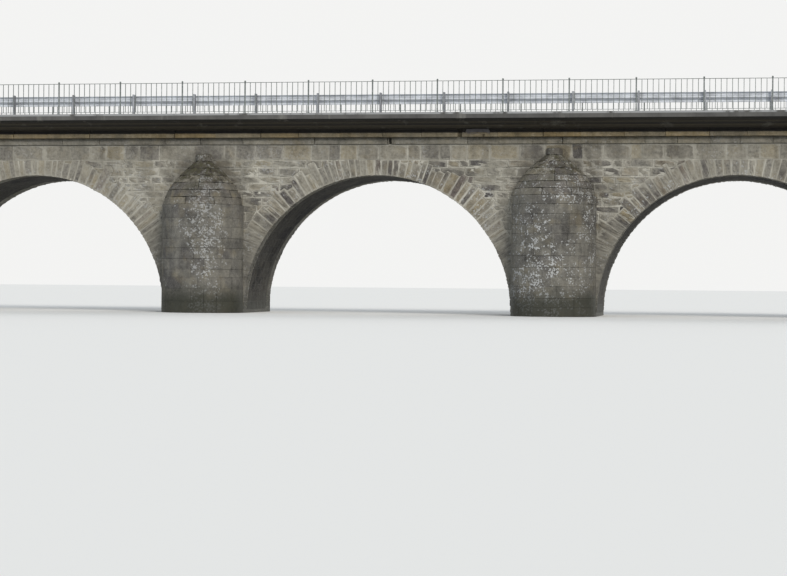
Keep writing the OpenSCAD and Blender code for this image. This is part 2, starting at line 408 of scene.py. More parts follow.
# %% [markdown]
# ## The round noses of the piers
#
# A nose is a half drum of curved stones with tight joints. Bending blocks is one way; spinning is
# closer to how the mason's template works: a flat rectangle, as deep and high as the stone, is spun
# around the drum's axis by the stone's share of the round. Three widths are modelled, and each course
# mixes them in another order. The stones reach in to the axis, so they stand for the frame's plain drum
# and leave no hollow behind their joints.

# %% Spin a curved stone
def curved_stone(outside, inside, height, degrees, arris, wobble, seed, steps=6, worn=0.0, top=None):
    """A stone of a drum around the Z axis, from angle 0 on, standing on z = 0. A sloping one has the radius top above."""
    top = top or outside
    nothing()
    bpy.ops.mesh.primitive_plane_add(size=1, location=((outside + inside) / 2, 0, height / 2), rotation=(math.pi / 2, 0, 0))
    bpy.ops.transform.resize(value=(outside - inside, 1, height))
    stone = place(bpy.context.object)
    bpy.ops.object.mode_set(mode="EDIT")
    if top != outside:
        pick("verts", lambda v: v.co.x > outside - 0.001 and v.co.z > height - 0.001)
        bpy.ops.transform.translate(value=(top - outside, 0, 0))
    bpy.ops.mesh.select_all(action="SELECT")
    bpy.ops.mesh.spin(steps=steps, angle=-math.radians(degrees), center=(0, 0, 0), axis=(0, 0, 1))
    bpy.ops.mesh.select_all(action="SELECT")
    bpy.ops.mesh.remove_doubles(threshold=0.0005)
    bpy.ops.mesh.fill_holes(sides=0)
    bpy.ops.mesh.select_all(action="SELECT")
    bpy.ops.mesh.normals_make_consistent(inside=False)
    if worn:
        pick("edges", lambda e: all(v.co.z > height - 0.001 and math.hypot(v.co.x, v.co.y) > top - 0.01 for v in e.verts))
        bpy.ops.mesh.bevel(offset=worn, segments=4, affect="EDGES")
    pick("edges", lambda e: len(e.link_faces) == 2 and e.calc_face_angle(0) > 0.5
         and any(math.hypot(v.co.x, v.co.y) > top - 0.01 for v in e.verts))
    bpy.ops.mesh.bevel(offset=arris, segments=2, profile=0.6, affect="EDGES")
    if wobble:
        pick("verts", lambda v: math.hypot(v.co.x, v.co.y) > (outside + inside) / 2)
        bpy.ops.transform.vertex_random(offset=wobble, uniform=0.0, normal=1.0, seed=seed)
    nothing()
    return stone


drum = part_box("cutwater_front_left")[1].x - (-pier_x)
shares = (32, 24, 32, 24, 32, 18, 18)
drum_masters = {d: curved_stone(drum - 0.006, 0.05, 1.0, d - 0.28, 0.006, 0.003, d) for d in (18, 24, 32)}
for master in drum_masters.values():
    report(master)

# %% Lay the noses
def nose_stones(name, x, side, tops, rng):
    parts, bottom = [], 0.0
    for top in tops:
        order = list(shares)
        rng.shuffle(order)
        turn, gap = 180.0, rng.choice((0.003, 0.004, 0.009))
        for share in order:
            matrix = (Matrix.Translation((x, -face_y, bottom + gap / 2)) @ Matrix.Rotation(math.radians(turn + 0.14), 4, "Z")
                      @ Matrix.Diagonal((1, 1, top - bottom - gap, 1)))
            parts.append(lay(drum_masters[share], matrix))
            turn += share
        bottom = top
    piece = gather(name, parts)
    if side == "back":
        piece.data.transform(Matrix.Translation((2 * x, 0, 0)) @ Matrix.Rotation(math.pi, 4, "Z"))
    return piece


rng = random.Random(12)
measured = [0.36, 0.74, 1.10, 1.34, 1.67, 2.00, 2.30, 2.65, 2.93]
for side in ("front", "back"):
    for which, hand in (("left", -1), ("right", 1)):
        name = f"nose_stones_{side}_{which}"
        heights = split(cap_z[hand], 0.27, 0.40, rng)
        tops = [sum(heights[:k + 1]) for k in range(len(heights) - 1)]
        tops = (measured if name.endswith("front_left") else tops) + [cap_z[hand]]
        masonry[name] = nose_stones(name, hand * pier_x, side, tops, rng)
        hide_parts(f"cutwater_{side}_{which}")
        report(masonry[name])

# %% [markdown]
# ## The sloping caps
#
# Each nose ends in a half cone of six courses with a crown stone against the wall, so that rain runs off
# and nothing lodges on it. Its side bulges a little. Every stone is spun like those of the nose, from a
# profile whose top edge is drawn in by as much as its course slopes. Each one is set back by a
# different hair, and a Displace wears them all unevenly. They stand for the plain caps of the frame.

# %% Model and lay the cap stones
cap_steps = 7
cap_tall = {hand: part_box(f"cutwater_cap_front_{which}")[1].z - cap_z[hand] for which, hand in (("left", -1), ("right", 1))}
step_high = cap_tall[1] / cap_steps
cap_wear = bpy.data.textures.new("cap_wear", "CLOUDS")
cap_wear.noise_scale = 0.16
cap_shares = [[30, 42, 36, 30, 42], [36, 30, 48, 30, 36], [42, 30, 36, 30, 42], [48, 36, 54, 42], [42, 54, 36, 48], [66, 54, 60], [180]]


def cap_radius(level):
    return (drum - 0.02) * (1 - 0.8 * min(level / (cap_steps - 1), 1) ** 1.7)


def cap_course(level, rng):
    """The stones of one course, around the origin, on the side that looks towards -Y."""
    order = list(cap_shares[level])
    rng.shuffle(order)
    parts, turn = [], 180.0
    for share in order:
        stone = curved_stone(cap_radius(level), 0.03, step_high - 0.004, share - 0.34, 0.010, 0.0, level + share, steps=max(5, share // 7),
                             worn=0.05 if level == cap_steps - 1 else 0.0, top=cap_radius(level + 1))
        back = 1 - rng.uniform(0.0, 0.015)
        stone.data.transform(Matrix.Translation((0, 0, level * step_high + 0.002)) @ Matrix.Rotation(math.radians(turn + 0.17), 4, "Z")
                             @ Matrix.Diagonal((back, back, 1, 1)))
        parts.append(stone)
        turn += share
    return parts


rng = random.Random(31)
cap_master = gather("cap_master", [stone for level in range(cap_steps) for stone in cap_course(level, rng)])
finish(cap_master, "DISPLACE", texture=cap_wear, texture_coords="LOCAL", direction="NORMAL", mid_level=0.62, strength=0.04)
for side in ("front", "back"):
    for which, hand in (("left", -1), ("right", 1)):
        name = f"cap_stones_{side}_{which}"
        rise_more = Matrix.Diagonal((1, 1, cap_tall[hand] / cap_tall[1], 1))
        cap = lay(cap_master, Matrix.Translation((hand * pier_x, -face_y, cap_z[hand])) @ rise_more)
        if side == "back":
            cap.data.transform(Matrix.Translation((2 * hand * pier_x, 0, 0)) @ Matrix.Rotation(math.pi, 4, "Z"))
        cap.name = cap.data.name = name
        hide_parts(f"cutwater_cap_{side}_{which}")
        masonry[name] = cap
report(cap)
scrap(cap_master)

# %% [markdown]
# ## String course and cornice
#
# Two bands of long dressed stones run over the walls. The lower one is a plain square band. The upper
# one has a flat front, a slope that throws the rain off, and a small fillet. It is drawn as a mason would
# cut it: a block, its top extruded and drawn back for the slope, and extruded once more for the fillet.
# The stones lie end to end with thin open joints and are a few millimetres out of line.

# %% Model the band stones
string_deep = face_y + 0.05 - inner_y
string_master = block(1.1, string_deep, cornice_z - string_z - 0.006, 0.008, 3, 0.005, 6, seen=((0, -1, 0),))
string_master.data.transform(Matrix.Translation((0, -(inner_y + string_deep / 2), (string_z + cornice_z) / 2)))

nose_y = -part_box("cornice_front")[0].y
shoulder_y = nose_y - 0.11
band_high, fillet_high = 0.13, 0.035
nothing()
bpy.ops.mesh.primitive_cube_add(size=1, location=(0, -(inner_y + nose_y) / 2, cornice_z + band_high / 2),
                                scale=(1.2, nose_y - inner_y, band_high))
cornice_master = place(bpy.context.object)
bpy.ops.object.mode_set(mode="EDIT")
for rise, back in ((slab_z - fillet_high - cornice_z - band_high, nose_y - shoulder_y), (fillet_high, 0.0)):
    top = max(v.co.z for v in bmesh.from_edit_mesh(cornice_master.data).verts)
    pick("faces", lambda f: f.normal.z > 0.9 and middle(f).z > top - 0.001)
    bpy.ops.mesh.extrude_region_move(TRANSFORM_OT_translate={"value": (0, 0, rise)})
    pick("edges", lambda e: all(v.co.z > top + rise - 0.001 and v.co.y < -inner_y - 0.3 for v in e.verts))
    bpy.ops.transform.translate(value=(0, back, 0))
pick("edges", lambda e: all(v.co.y < -inner_y - 0.1 for v in e.verts) and e.calc_face_angle(0) > 0.3 and middle(e).z < slab_z - 0.01)
bpy.ops.mesh.bevel(offset=0.010, segments=2, affect="EDGES")
pick("faces", lambda f: f.normal.y < -0.4 and f.calc_area() > 0.05)
bpy.ops.mesh.subdivide(number_cuts=4)
bpy.ops.transform.vertex_random(offset=0.006, uniform=0.0, normal=1.0, seed=9)
nothing()
report(cornice_master)

# %% Lay the bands, with the drain notch and the broken stone
def band(name, master, usual, shortest, longest, rng, start_at=()):
    parts, left = [], -half_length + 0.01
    for long in split(2 * half_length - 0.02, shortest, longest, rng):
        matrix = (Matrix.Translation((left + long / 2, rng.uniform(-0.004, 0.004), rng.uniform(-0.0015, 0.0015)))
                  @ Matrix.Rotation(math.radians(rng.uniform(-0.2, 0.2)), 4, "Z")
                  @ Matrix.Diagonal(((long - 0.007) / usual, 1, 1, 1)))
        parts.append(lay(master, matrix))
        left += long
    return gather(name, parts)


def bite(piece, x, y, z, size, seed):
    """Breaks a rough-sided piece out of a band."""
    nothing()
    bpy.ops.mesh.primitive_cube_add(size=1, location=(x, y, z), scale=size)
    tooth = place(bpy.context.object)
    bpy.ops.object.mode_set(mode="EDIT")
    bpy.ops.mesh.select_all(action="SELECT")
    bpy.ops.mesh.subdivide(number_cuts=3)
    bpy.ops.transform.vertex_random(offset=0.012, uniform=0.0, normal=0.6, seed=seed)
    nothing()
    finish(piece, "BOOLEAN", operation="DIFFERENCE", object=tooth, solver="EXACT")
    scrap(tooth)


rng = random.Random(77)
for side, turn in (("front", 0), ("back", math.pi)):
    string_piece = band(f"string_stones_{side}", string_master, 1.1, 0.85, 1.45, rng)
    cornice_piece = band(f"cornice_stones_{side}", cornice_master, 1.2, 0.95, 1.45, rng)
    if side == "front":
        bite(string_piece, 0.43, -face_y - 0.03, (string_z + cornice_z) / 2, (0.09, 0.20, 0.3), 2)
        bite(cornice_piece, 2.62, -nose_y + 0.05, cornice_z + 0.1, (0.13, 0.24, 0.4), 3)
        bite(cornice_piece, 3.35, -nose_y, cornice_z + 0.02, (0.06, 0.10, 0.10), 4)
    for piece, node in ((string_piece, "string_course_" + side), (cornice_piece, "cornice_" + side)):
        piece.data.transform(Matrix.Rotation(turn, 4, "Z"))
        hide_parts(node)
        masonry[piece.name] = piece
        report(piece)

# %% [markdown]
# ## A patch on the cornice
#
# Beside the broken stone, a lump of mortar fills the slope of the cornice up to the slab. It is a cube
# whose top is drawn in and pushed back, with rounded edges and a rough face.

# %% Model the patch
patch_low, patch_high = cornice_z + 0.088, slab_z - 0.015
nothing()
bpy.ops.mesh.primitive_cube_add(size=1, location=(3.17, -nose_y + 0.07, (patch_low + patch_high) / 2), scale=(0.80, 0.15, patch_high - patch_low))
cornice_patch = place(bpy.context.object)
cornice_patch.name = cornice_patch.data.name = "cornice_patch"
bpy.ops.object.mode_set(mode="EDIT")
pick("faces", lambda f: f.normal.z > 0.9)
bpy.ops.transform.resize(value=(0.84, 1, 1))
bpy.ops.transform.translate(value=(-0.015, 0.03, 0))
pick("edges", lambda e: all(v.co.y < -nose_y + 0.05 for v in e.verts))
bpy.ops.mesh.bevel(offset=0.012, segments=3, affect="EDGES")
pick("faces", lambda f: f.normal.y < -0.9 and f.calc_area() > 0.02)
bpy.ops.mesh.subdivide(number_cuts=7)
bpy.ops.transform.vertex_random(offset=0.007, uniform=0.0, normal=1.0, seed=14)
nothing()
report(cornice_patch)

# %% [markdown]
# ## Kerb and footway
#
# The kerb is a row of cast concrete lengths with a rounded arris on the road side, and the footway is
# cast in bays with open joints. Both are one modelled length, copied.

# %% Lay kerb and footway
kerb_low, kerb_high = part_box("kerb")
walk_low, walk_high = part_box("footway")
kerb_size = kerb_high - kerb_low
walk_size = walk_high - walk_low
kerb_master = block(0.99, kerb_size.y, kerb_size.z, 0.018, 1, 0.0, 1, seen=((0, 1, 0), (0, 0, 1)))
walk_master = block(1.985, walk_size.y, walk_size.z, 0.006, 2, 0.0, 1, seen=((0, 0, 1),))
ends = {}
for name, master, long, size, centre in (("kerb_stones", kerb_master, 1.0, kerb_size, (kerb_low + kerb_high) / 2),
                                         ("footway_bays", walk_master, 2.0, walk_size, (walk_low + walk_high) / 2)):
    count = int(round(2 * half_length / long))
    pitch = 2 * half_length / count
    parts = [lay(master, Matrix.Translation((-half_length + (k + 0.5) * pitch, centre.y, centre.z))
                 @ Matrix.Diagonal((pitch / long, 1, 1, 1))) for k in range(count)]
    ends[name] = gather(name, parts)
    report(ends[name])
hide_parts("kerb")
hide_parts("footway")

# %% [markdown]
# ## Railing posts
#
# Each post is a square bar on a foot plate with four bolts, a small collar and a ball on top. The post
# is one cube whose long arrises are bevelled, the bolts are six-sided, and the ball is flattened where
# it meets its collar. One post is joined from these and copied along both edges of the slab.

# %% Model a railing post
post_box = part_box("railing_posts_front")
rail_y = (post_box[0].y + post_box[1].y) / 2
post_top = deck_z + 0.972
nothing()
bpy.ops.mesh.primitive_cube_add(size=1, location=(0, 0, 0.486), scale=(0.04, 0.04, 0.972))
bar = place(bpy.context.object)
bpy.ops.object.mode_set(mode="EDIT")
pick("edges", lambda e: abs(e.verts[0].co.z - e.verts[1].co.z) > 0.5)
bpy.ops.mesh.bevel(offset=0.005, segments=2, affect="EDGES")
nothing()
bpy.ops.mesh.primitive_cube_add(size=1, location=(0, 0, 0.006), scale=(0.094, 0.094, 0.012))
plate = place(bpy.context.object)
bpy.ops.object.mode_set(mode="EDIT")
pick("faces", lambda f: f.normal.z > 0.9)
bpy.ops.mesh.bevel(offset=0.003, segments=1, affect="EDGES")
nothing()
bpy.ops.mesh.primitive_cylinder_add(vertices=6, radius=0.008, depth=0.009, location=(0.033, 0.033, 0.0155))
bolt = place(bpy.context.object)
bpy.ops.object.mode_set(mode="EDIT")
pick("faces", lambda f: f.normal.z > 0.9)
bpy.ops.mesh.inset(thickness=0.002)
bpy.ops.transform.translate(value=(0, 0, 0.002))
nothing()
bolts = [bolt] + [lay(bolt, Matrix.Rotation(math.radians(a), 4, "Z")) for a in (90, 180, 270)]
bpy.ops.mesh.primitive_cylinder_add(vertices=20, radius=0.027, depth=0.010, location=(0, 0, 0.973))
collar = place(bpy.context.object)
bpy.ops.object.mode_set(mode="EDIT")
pick("edges", lambda e: abs(e.verts[0].co.z - e.verts[1].co.z) < 0.001)
bpy.ops.mesh.bevel(offset=0.003, segments=2, affect="EDGES")
nothing()
knob_r = (post_box[1].z - deck_z - 0.972) / 1.7
bpy.ops.mesh.primitive_uv_sphere_add(segments=20, ring_count=12, radius=knob_r, location=(0, 0, 0.972 + 0.7 * knob_r))
knob = place(bpy.context.object)
bpy.ops.object.mode_set(mode="EDIT")
pick("verts", lambda v: v.co.z < 0.974)
bpy.ops.transform.resize(value=(1, 1, 0.2), center_override=(0, 0, 0.974))
nothing()
post_master = gather("post_master", [bar, plate, collar, knob] + bolts)
report(post_master)

# %% Set the railing posts
steel = {}
half_panels = 9
pitch = (half_length - 0.1) / half_panels
for side, y in (("front", rail_y), ("back", -rail_y)):
    posts = [lay(post_master, Matrix.Translation((k * pitch, y, deck_z))) for k in range(-half_panels, half_panels + 1)]
    steel["railing_uprights_" + side] = gather("railing_uprights_" + side, posts)
    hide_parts("railing_posts_" + side)
    report(steel["railing_uprights_" + side])
scrap(post_master)

# %% [markdown]
# ## Guardrail beam
#
# The beam is a rolled sheet, bent to two corrugations. A narrow strip is extruded edge by edge along
# the profile, the bends are bevelled round, and a Solidify gives the sheet its thickness. The beam comes
# in lengths of four metres that overlap at a post, and each overlap has eight domed bolts. They are
# small, so that one bolt of few faces, copied, is enough.

# %% Roll one length of the beam
beam_low, beam_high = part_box("guardrail_beam")
sheet = 0.004
reach = beam_high.y - beam_low.y - sheet
tall = beam_high.z - beam_low.z
profile = [(0.30, -0.50), (0.75, -0.44), (1.00, -0.36), (1.00, -0.26), (0.12, -0.09), (0.00, -0.06),
           (0.00, 0.06), (0.12, 0.09), (1.00, 0.26), (1.00, 0.36), (0.75, 0.44), (0.30, 0.50)]
points = [Vector((0, beam_low.y + p * reach, (beam_low.z + beam_high.z) / 2 + q * tall)) for p, q in profile]
section = 4.0
nothing()
bpy.ops.mesh.primitive_plane_add(size=1, location=(0, points[0].y, points[0].z - 0.5), rotation=(math.pi / 2, 0, 0))
bpy.ops.transform.resize(value=(section + 0.32, 1, 1))
beam_master = place(bpy.context.object)
bpy.ops.object.mode_set(mode="EDIT")
pick("verts", lambda v: v.co.z > points[0].z - 0.01)
bpy.ops.transform.translate(value=points[1] - points[0])
pick("verts", lambda v: v.co.z < points[0].z - 0.9)
bpy.ops.transform.translate(value=(0, 0, 1))
last = points[1]
for point in points[2:]:
    pick("edges", lambda e: all((v.co - Vector((v.co.x, last.y, last.z))).length < 0.0005 for v in e.verts))
    bpy.ops.mesh.extrude_edges_move(TRANSFORM_OT_translate={"value": point - last})
    last = point
pick("edges", lambda e: len(e.link_faces) == 2 and e.calc_face_angle(0) > 0.1)
bpy.ops.mesh.bevel(offset=0.010, segments=2, affect="EDGES")
bpy.ops.mesh.select_all(action="SELECT")
bpy.ops.mesh.normals_make_consistent(inside=False)
nothing()
finish(beam_master, "SOLIDIFY", thickness=sheet, offset=0)
bpy.ops.object.shade_smooth_by_angle(angle=math.radians(35))
report(beam_master)
print("beam length box", [round(c, 3) for c in beam_master.dimensions])

# %% Model a domed bolt
nothing()
bpy.ops.mesh.primitive_uv_sphere_add(segments=10, ring_count=8, radius=0.017)
dome = place(bpy.context.object)
bpy.ops.object.mode_set(mode="EDIT")
bpy.ops.mesh.select_all(action="SELECT")
bpy.ops.mesh.bisect(plane_co=(0, 0, 0.003), plane_no=(0, 0, 1), use_fill=True, clear_inner=True)
bpy.ops.mesh.select_all(action="SELECT")
bpy.ops.transform.resize(value=(1, 1, 0.6), center_override=(0, 0, 0.003))
nothing()
dome.data.transform(Matrix.Rotation(-math.pi / 2, 4, "X"))
report(dome)

# %% Hang the beam and set its bolts
parts, domes = [], []
joints_at = [x for x in range(-16, 17, 4)]
edges = [-half_length] + [x * pitch / 2 for x in joints_at] + [half_length]
for number, (a, b) in enumerate(zip(edges, edges[1:])):
    over_a = 0.16 if number else 0.0
    over_b = 0.16 if number < len(edges) - 2 else 0.0
    long = b - a + over_a + over_b
    middle_x = (a - over_a + b + over_b) / 2
    parts.append(lay(beam_master, Matrix.Translation((middle_x, 0.0045 * (number % 2), 0))
                     @ Matrix.Diagonal((long / (section + 0.32), 1, 1, 1))))
back_y = beam_high.y + 0.001
for x in edges[1:-1]:
    for dx in (-0.105, 0.105):
        for q in (-0.31, 0.31):
            domes.append(lay(dome, Matrix.Translation((x + dx, back_y - 0.004, points[0].z + (0.5 + q) * tall))))
        for q in (-0.175, 0.175):
            domes.append(lay(dome, Matrix.Translation((x + dx, beam_low.y + 0.56 * reach, points[0].z + (0.5 + q) * tall))))
for k in range(-half_panels, half_panels + 1):
    domes.append(lay(dome, Matrix.Translation((k * pitch, beam_low.y + 0.006, points[0].z + 0.5 * tall))))
steel["beam_lengths"] = gather("beam_lengths", parts)
steel["beam_bolts"] = gather("beam_bolts", domes)
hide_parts("guardrail_beam")
for name in ("beam_lengths", "beam_bolts"):
    report(steel[name])
scrap(beam_master, dome)

# %% Anchor bolts of the guardrail posts
guard_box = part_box("guardrail_posts")
guard_mid = (guard_box[0].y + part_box("guardrail_beam")[0].y) / 2
nothing()
bpy.ops.mesh.primitive_cylinder_add(vertices=6, radius=0.014, depth=0.014, location=(0, 0, 0.022))
nut = place(bpy.context.object)
bpy.ops.object.mode_set(mode="EDIT")
pick("faces", lambda f: f.normal.z > 0.9)
bpy.ops.mesh.inset(thickness=0.005)
bpy.ops.mesh.extrude_region_move(TRANSFORM_OT_translate={"value": (0, 0, 0.014)})
nothing()
nuts = [lay(nut, Matrix.Translation((k * pitch + dx, guard_mid + 0.0 + dy, deck_z)))
        for k in range(-half_panels, half_panels + 1) for dx in (-0.075, 0.075) for dy in (-0.078, 0.078)]
steel["post_anchors"] = gather("post_anchors", nuts)
report(steel["post_anchors"])
scrap(nut, *wall_masters, *course_masters, *wedge_masters, vault_master, *drum_masters.values(), string_master, cornice_master,
      kerb_master, walk_master)

# %% [markdown]
# ## How the finishes are built
#
# A material here is a small tree of nodes. Patterns that several finishes share, the grain of the stone
# and the weathering, are node groups: they take a place and some amounts and give back colours, masks
# and heights, and each material feeds them to its own shader. All of them read the piece's own
# coordinates in metres, so a stain keeps its real size.

# %% Node helpers
def socket_group(name, inputs, outputs):
    tree = bpy.data.node_groups.new(name, "ShaderNodeTree")
    for label, kind, value in inputs:
        made = tree.interface.new_socket(name=label, in_out="INPUT", socket_type="NodeSocket" + kind)
        if value is not None:
            made.default_value = value
    for label, kind in outputs:
        tree.interface.new_socket(name=label, in_out="OUTPUT", socket_type="NodeSocket" + kind)
    return tree, tree.nodes.new("NodeGroupInput"), tree.nodes.new("NodeGroupOutput")


def put(tree, kind, inputs=None, **settings):
    """Adds a node, sets its properties, and links or sets its inputs by name or number."""
    node = tree.nodes.new("ShaderNode" + kind)
    for name, value in settings.items():
        setattr(node, name, value)
    for key, value in (inputs or {}).items():
        if isinstance(value, bpy.types.NodeSocket):
            tree.links.new(value, node.inputs[key])
        else:
            node.inputs[key].default_value = value
    return node


def math_node(tree, operation, a, b=0.5, clamp=False):
    return put(tree, "Math", {0: a, 1: b}, operation=operation, use_clamp=clamp).outputs[0]


def blend(tree, factor, a, b, way="MIX"):
    node = put(tree, "Mix", data_type="RGBA", blend_type=way)
    for key, value in ((0, factor), (6, a), (7, b)):
        if isinstance(value, bpy.types.NodeSocket):
            tree.links.new(value, node.inputs[key])
        else:
            node.inputs[key].default_value = value
    return node.outputs[2]


def rise(tree, value, start, end, low=0.0, high=1.0):
    """Low below start, high above end."""
    return put(tree, "MapRange", {0: value, 1: start, 2: end, 3: low, 4: high}, clamp=True).outputs[0]


def noise(tree, where, scale, detail=3.0, rough=0.55):
    return put(tree, "TexNoise", {"Vector": where, "Scale": scale, "Detail": detail, "Roughness": rough}).outputs["Fac"]


def stretched(tree, where, scale):
    return put(tree, "Mapping", {"Vector": where, "Scale": scale}).outputs[0]


# %% Group: the grain of granite
tree, into, out = socket_group("granite_grain", [("Place", "Vector", None), ("Tone", "Float", 0.5)], [("Color", "Color"), ("Height", "Float")])
place_in, tone_in = into.outputs[:2]
tones = put(tree, "ValToRGB", {0: tone_in})
ramp = tones.color_ramp
ramp.interpolation = "LINEAR"
for at, colour in ((0.0, (0.070, 0.065, 0.066, 1)), (0.24, (0.115, 0.106, 0.100, 1)), (0.46, (0.182, 0.171, 0.148, 1)),
                   (0.66, (0.250, 0.231, 0.190, 1)), (0.84, (0.285, 0.240, 0.155, 1)), (0.93, (0.145, 0.124, 0.114, 1)),
                   (1.0, (0.380, 0.362, 0.310, 1))):
    stop = ramp.elements[0] if at == 0.0 else ramp.elements[-1] if at == 1.0 else ramp.elements.new(at)
    stop.position, stop.color = at, colour
broad = noise(tree, place_in, 1.1, 4.0, 0.6)
patch = noise(tree, place_in, 7.0, 4.0, 0.6)
mottle = noise(tree, place_in, 17.0, 5.0, 0.75)
fine = noise(tree, place_in, 55.0, 3.0, 0.7)
shade = math_node(tree, "ADD", rise(tree, broad, 0.3, 0.7, 0.66, 1.28), rise(tree, patch, 0.25, 0.75, -0.34, 0.34))
shade = math_node(tree, "ADD", shade, rise(tree, mottle, 0.25, 0.75, -0.38, 0.38))
body = blend(tree, 1.0, tones.outputs[0], put(tree, "CombineColor", {0: shade, 1: shade, 2: shade}).outputs[0], "MULTIPLY")
warm = blend(tree, rise(tree, noise(tree, place_in, 2.3, 4.0), 0.52, 0.72, 0.0, 0.45), body, (0.35, 0.29, 0.18, 1), "MIX")
crystals = put(tree, "TexVoronoi", {"Vector": place_in, "Scale": 160.0}, feature="F1")
salt = rise(tree, put(tree, "SeparateColor", {0: crystals.outputs["Color"]}).outputs[0], 0.82, 0.9, 0.0, 0.35)
pepper = rise(tree, put(tree, "SeparateColor", {0: crystals.outputs["Color"]}).outputs[1], 0.80, 0.88, 0.0, 0.45)
speckled = blend(tree, salt, warm, (0.52, 0.50, 0.45, 1))
speckled = blend(tree, pepper, speckled, (0.05, 0.048, 0.045, 1))
tree.links.new(speckled, out.inputs["Color"])
height = math_node(tree, "ADD", math_node(tree, "MULTIPLY", fine, 0.55), math_node(tree, "MULTIPLY", patch, 0.9))
tree.links.new(height, out.inputs["Height"])

# %% Group: what weather leaves on a wall, with painted sunlight on the lichen
tree, into, out = socket_group(
    "weathering",
    [("Color", "Color", (0.5, 0.5, 0.5, 1)), ("Place", "Vector", None), ("Lichen", "Float", 0.3), ("Soot", "Float", 0.3),
     ("Moss", "Float", 0.1), ("Tide", "Float", 0.5), ("Lime", "Float", 0.0), ("Spread", "Float", 0.0),
     ("Coat", "Float", 0.0), ("Halo", "Float", 0.0)],
    [("Color", "Color"), ("Roughness", "Float"), ("Height", "Float")])
colour_in, place_in, lichen_in, soot_in, moss_in, tide_in, lime_in, spread_in, coat_in, halo_in = into.outputs[:10]
x_here, y_here, height_here = put(tree, "SeparateXYZ", {0: place_in}).outputs
spread = math_node(tree, "ADD", noise(tree, place_in, 0.42, 3.0, 0.6), math_node(tree, "MULTIPLY", noise(tree, place_in, 2.6, 4.0, 0.6), 0.45))
broken = rise(tree, noise(tree, place_in, 13.0, 5.0, 0.7), 0.34, 0.58, 0.25, 1.0)
lime = math_node(tree, "MULTIPLY", math_node(tree, "MULTIPLY", rise(tree, spread, 0.63, 0.74), broken), lime_in, True)
washed = blend(tree, lime, colour_in, (0.450, 0.430, 0.370, 1))
low_wall = math_node(tree, "ADD", height_here, math_node(tree, "MULTIPLY", noise(tree, place_in, 0.9, 4.0), 1.8))
coat = math_node(tree, "MULTIPLY", rise(tree, low_wall, 2.8, 3.8, 0.85, 0.0), coat_in, True)
skin = blend(tree, rise(tree, noise(tree, place_in, 4.5, 7.0, 0.72), 0.36, 0.64), (0.110, 0.106, 0.098, 1), (0.262, 0.248, 0.212, 1))
washed = blend(tree, coat, washed, skin)
settled = math_node(tree, "ADD", noise(tree, place_in, 0.55, 2.0), math_node(tree, "MULTIPLY", noise(tree, place_in, 3.5, 3.0), 0.5))
colonies = rise(tree, math_node(tree, "ADD", settled, spread_in), 0.70, 0.92)
bend = put(tree, "TexNoise", {"Vector": place_in, "Scale": 22.0, "Detail": 3.0}).outputs["Color"]
bent = put(tree, "VectorMath", {0: place_in, 1: put(tree, "VectorMath", {0: bend, 3: 0.06}, operation="SCALE").outputs[0]}, operation="ADD")
bits = put(tree, "TexVoronoi", {"Vector": bent.outputs[0], "Scale": 25.0}, feature="F1")
chance = put(tree, "SeparateColor", {0: bits.outputs["Color"]}).outputs[0]
thickness = rise(tree, noise(tree, place_in, 4.2, 4.0, 0.62), 0.42, 0.64, 0.05, 0.95)
thickness = math_node(tree, "MULTIPLY", thickness, rise(tree, x_here, -1.0, 1.0, 0.70, 0.60))
grown = rise(tree, math_node(tree, "SUBTRACT", math_node(tree, "MULTIPLY", thickness, colonies), chance), 0.0, 0.06)
# The lichen is faint on the left-hand pier and full on the right: partly a real difference, partly painted sunlight on
# the right-hand side.
crust_and_painted_light = math_node(tree, "MULTIPLY", math_node(tree, "MULTIPLY", grown, rise(tree, x_here, -1.0, 1.0, 0.68, 1.0)), lichen_in, True)
colour = blend(tree, crust_and_painted_light, washed, (0.55, 0.56, 0.56, 1))
run = noise(tree, stretched(tree, place_in, (2.6, 2.6, 0.22)), 1.0, 5.0, 0.65)
grime = math_node(tree, "MULTIPLY", rise(tree, run, 0.42, 0.70), soot_in, True)
colour = blend(tree, grime, colour, (0.035, 0.033, 0.030, 1))
facing = put(tree, "SeparateXYZ", {0: put(tree, "NewGeometry").outputs["Normal"]}).outputs[2]
upward = rise(tree, facing, 0.15, 0.85, 0.25, 1.0)
# The halo makes the wall darker within about two metres of each pier's cap top.
beside = put(tree, "CombineXYZ", {0: math_node(tree, "SUBTRACT", math_node(tree, "ABSOLUTE", x_here), pier_x),
                                  2: math_node(tree, "MULTIPLY", math_node(tree, "SUBTRACT", height_here, 4.15), 1.5)})
reach_out = put(tree, "VectorMath", {0: beside.outputs[0]}, operation="LENGTH").outputs["Value"]
frayed = math_node(tree, "ADD", reach_out, math_node(tree, "MULTIPLY", noise(tree, place_in, 2.4, 5.0, 0.7), 1.5))
halo = math_node(tree, "MULTIPLY", rise(tree, frayed, 1.6, 2.3, 0.62, 0.0), halo_in, True)
colour = blend(tree, halo, colour, (0.060, 0.054, 0.046, 1))
growth = math_node(tree, "MULTIPLY", math_node(tree, "MULTIPLY", rise(tree, noise(tree, place_in, 2.8, 5.0, 0.65), 0.42, 0.60), upward), moss_in, True)
colour = blend(tree, growth, colour, (0.060, 0.062, 0.022, 1))
wobble = math_node(tree, "MULTIPLY", noise(tree, place_in, 1.6, 4.0), 0.5)
damp_line = math_node(tree, "ADD", tide_in, math_node(tree, "SUBTRACT", wobble, 0.25))
damp = rise(tree, math_node(tree, "SUBTRACT", height_here, damp_line), -0.28, 0.22, 0.85, 0.0)
colour = blend(tree, damp, colour, (0.030, 0.032, 0.022, 1))
tree.links.new(colour, out.inputs["Color"])
tree.links.new(rise(tree, math_node(tree, "ADD", damp, math_node(tree, "MULTIPLY", grime, 0.3)), 0.0, 1.0, 0.90, 0.55), out.inputs["Roughness"])
tree.links.new(math_node(tree, "ADD", crust_and_painted_light, math_node(tree, "MULTIPLY", growth, 1.6)), out.inputs["Height"])
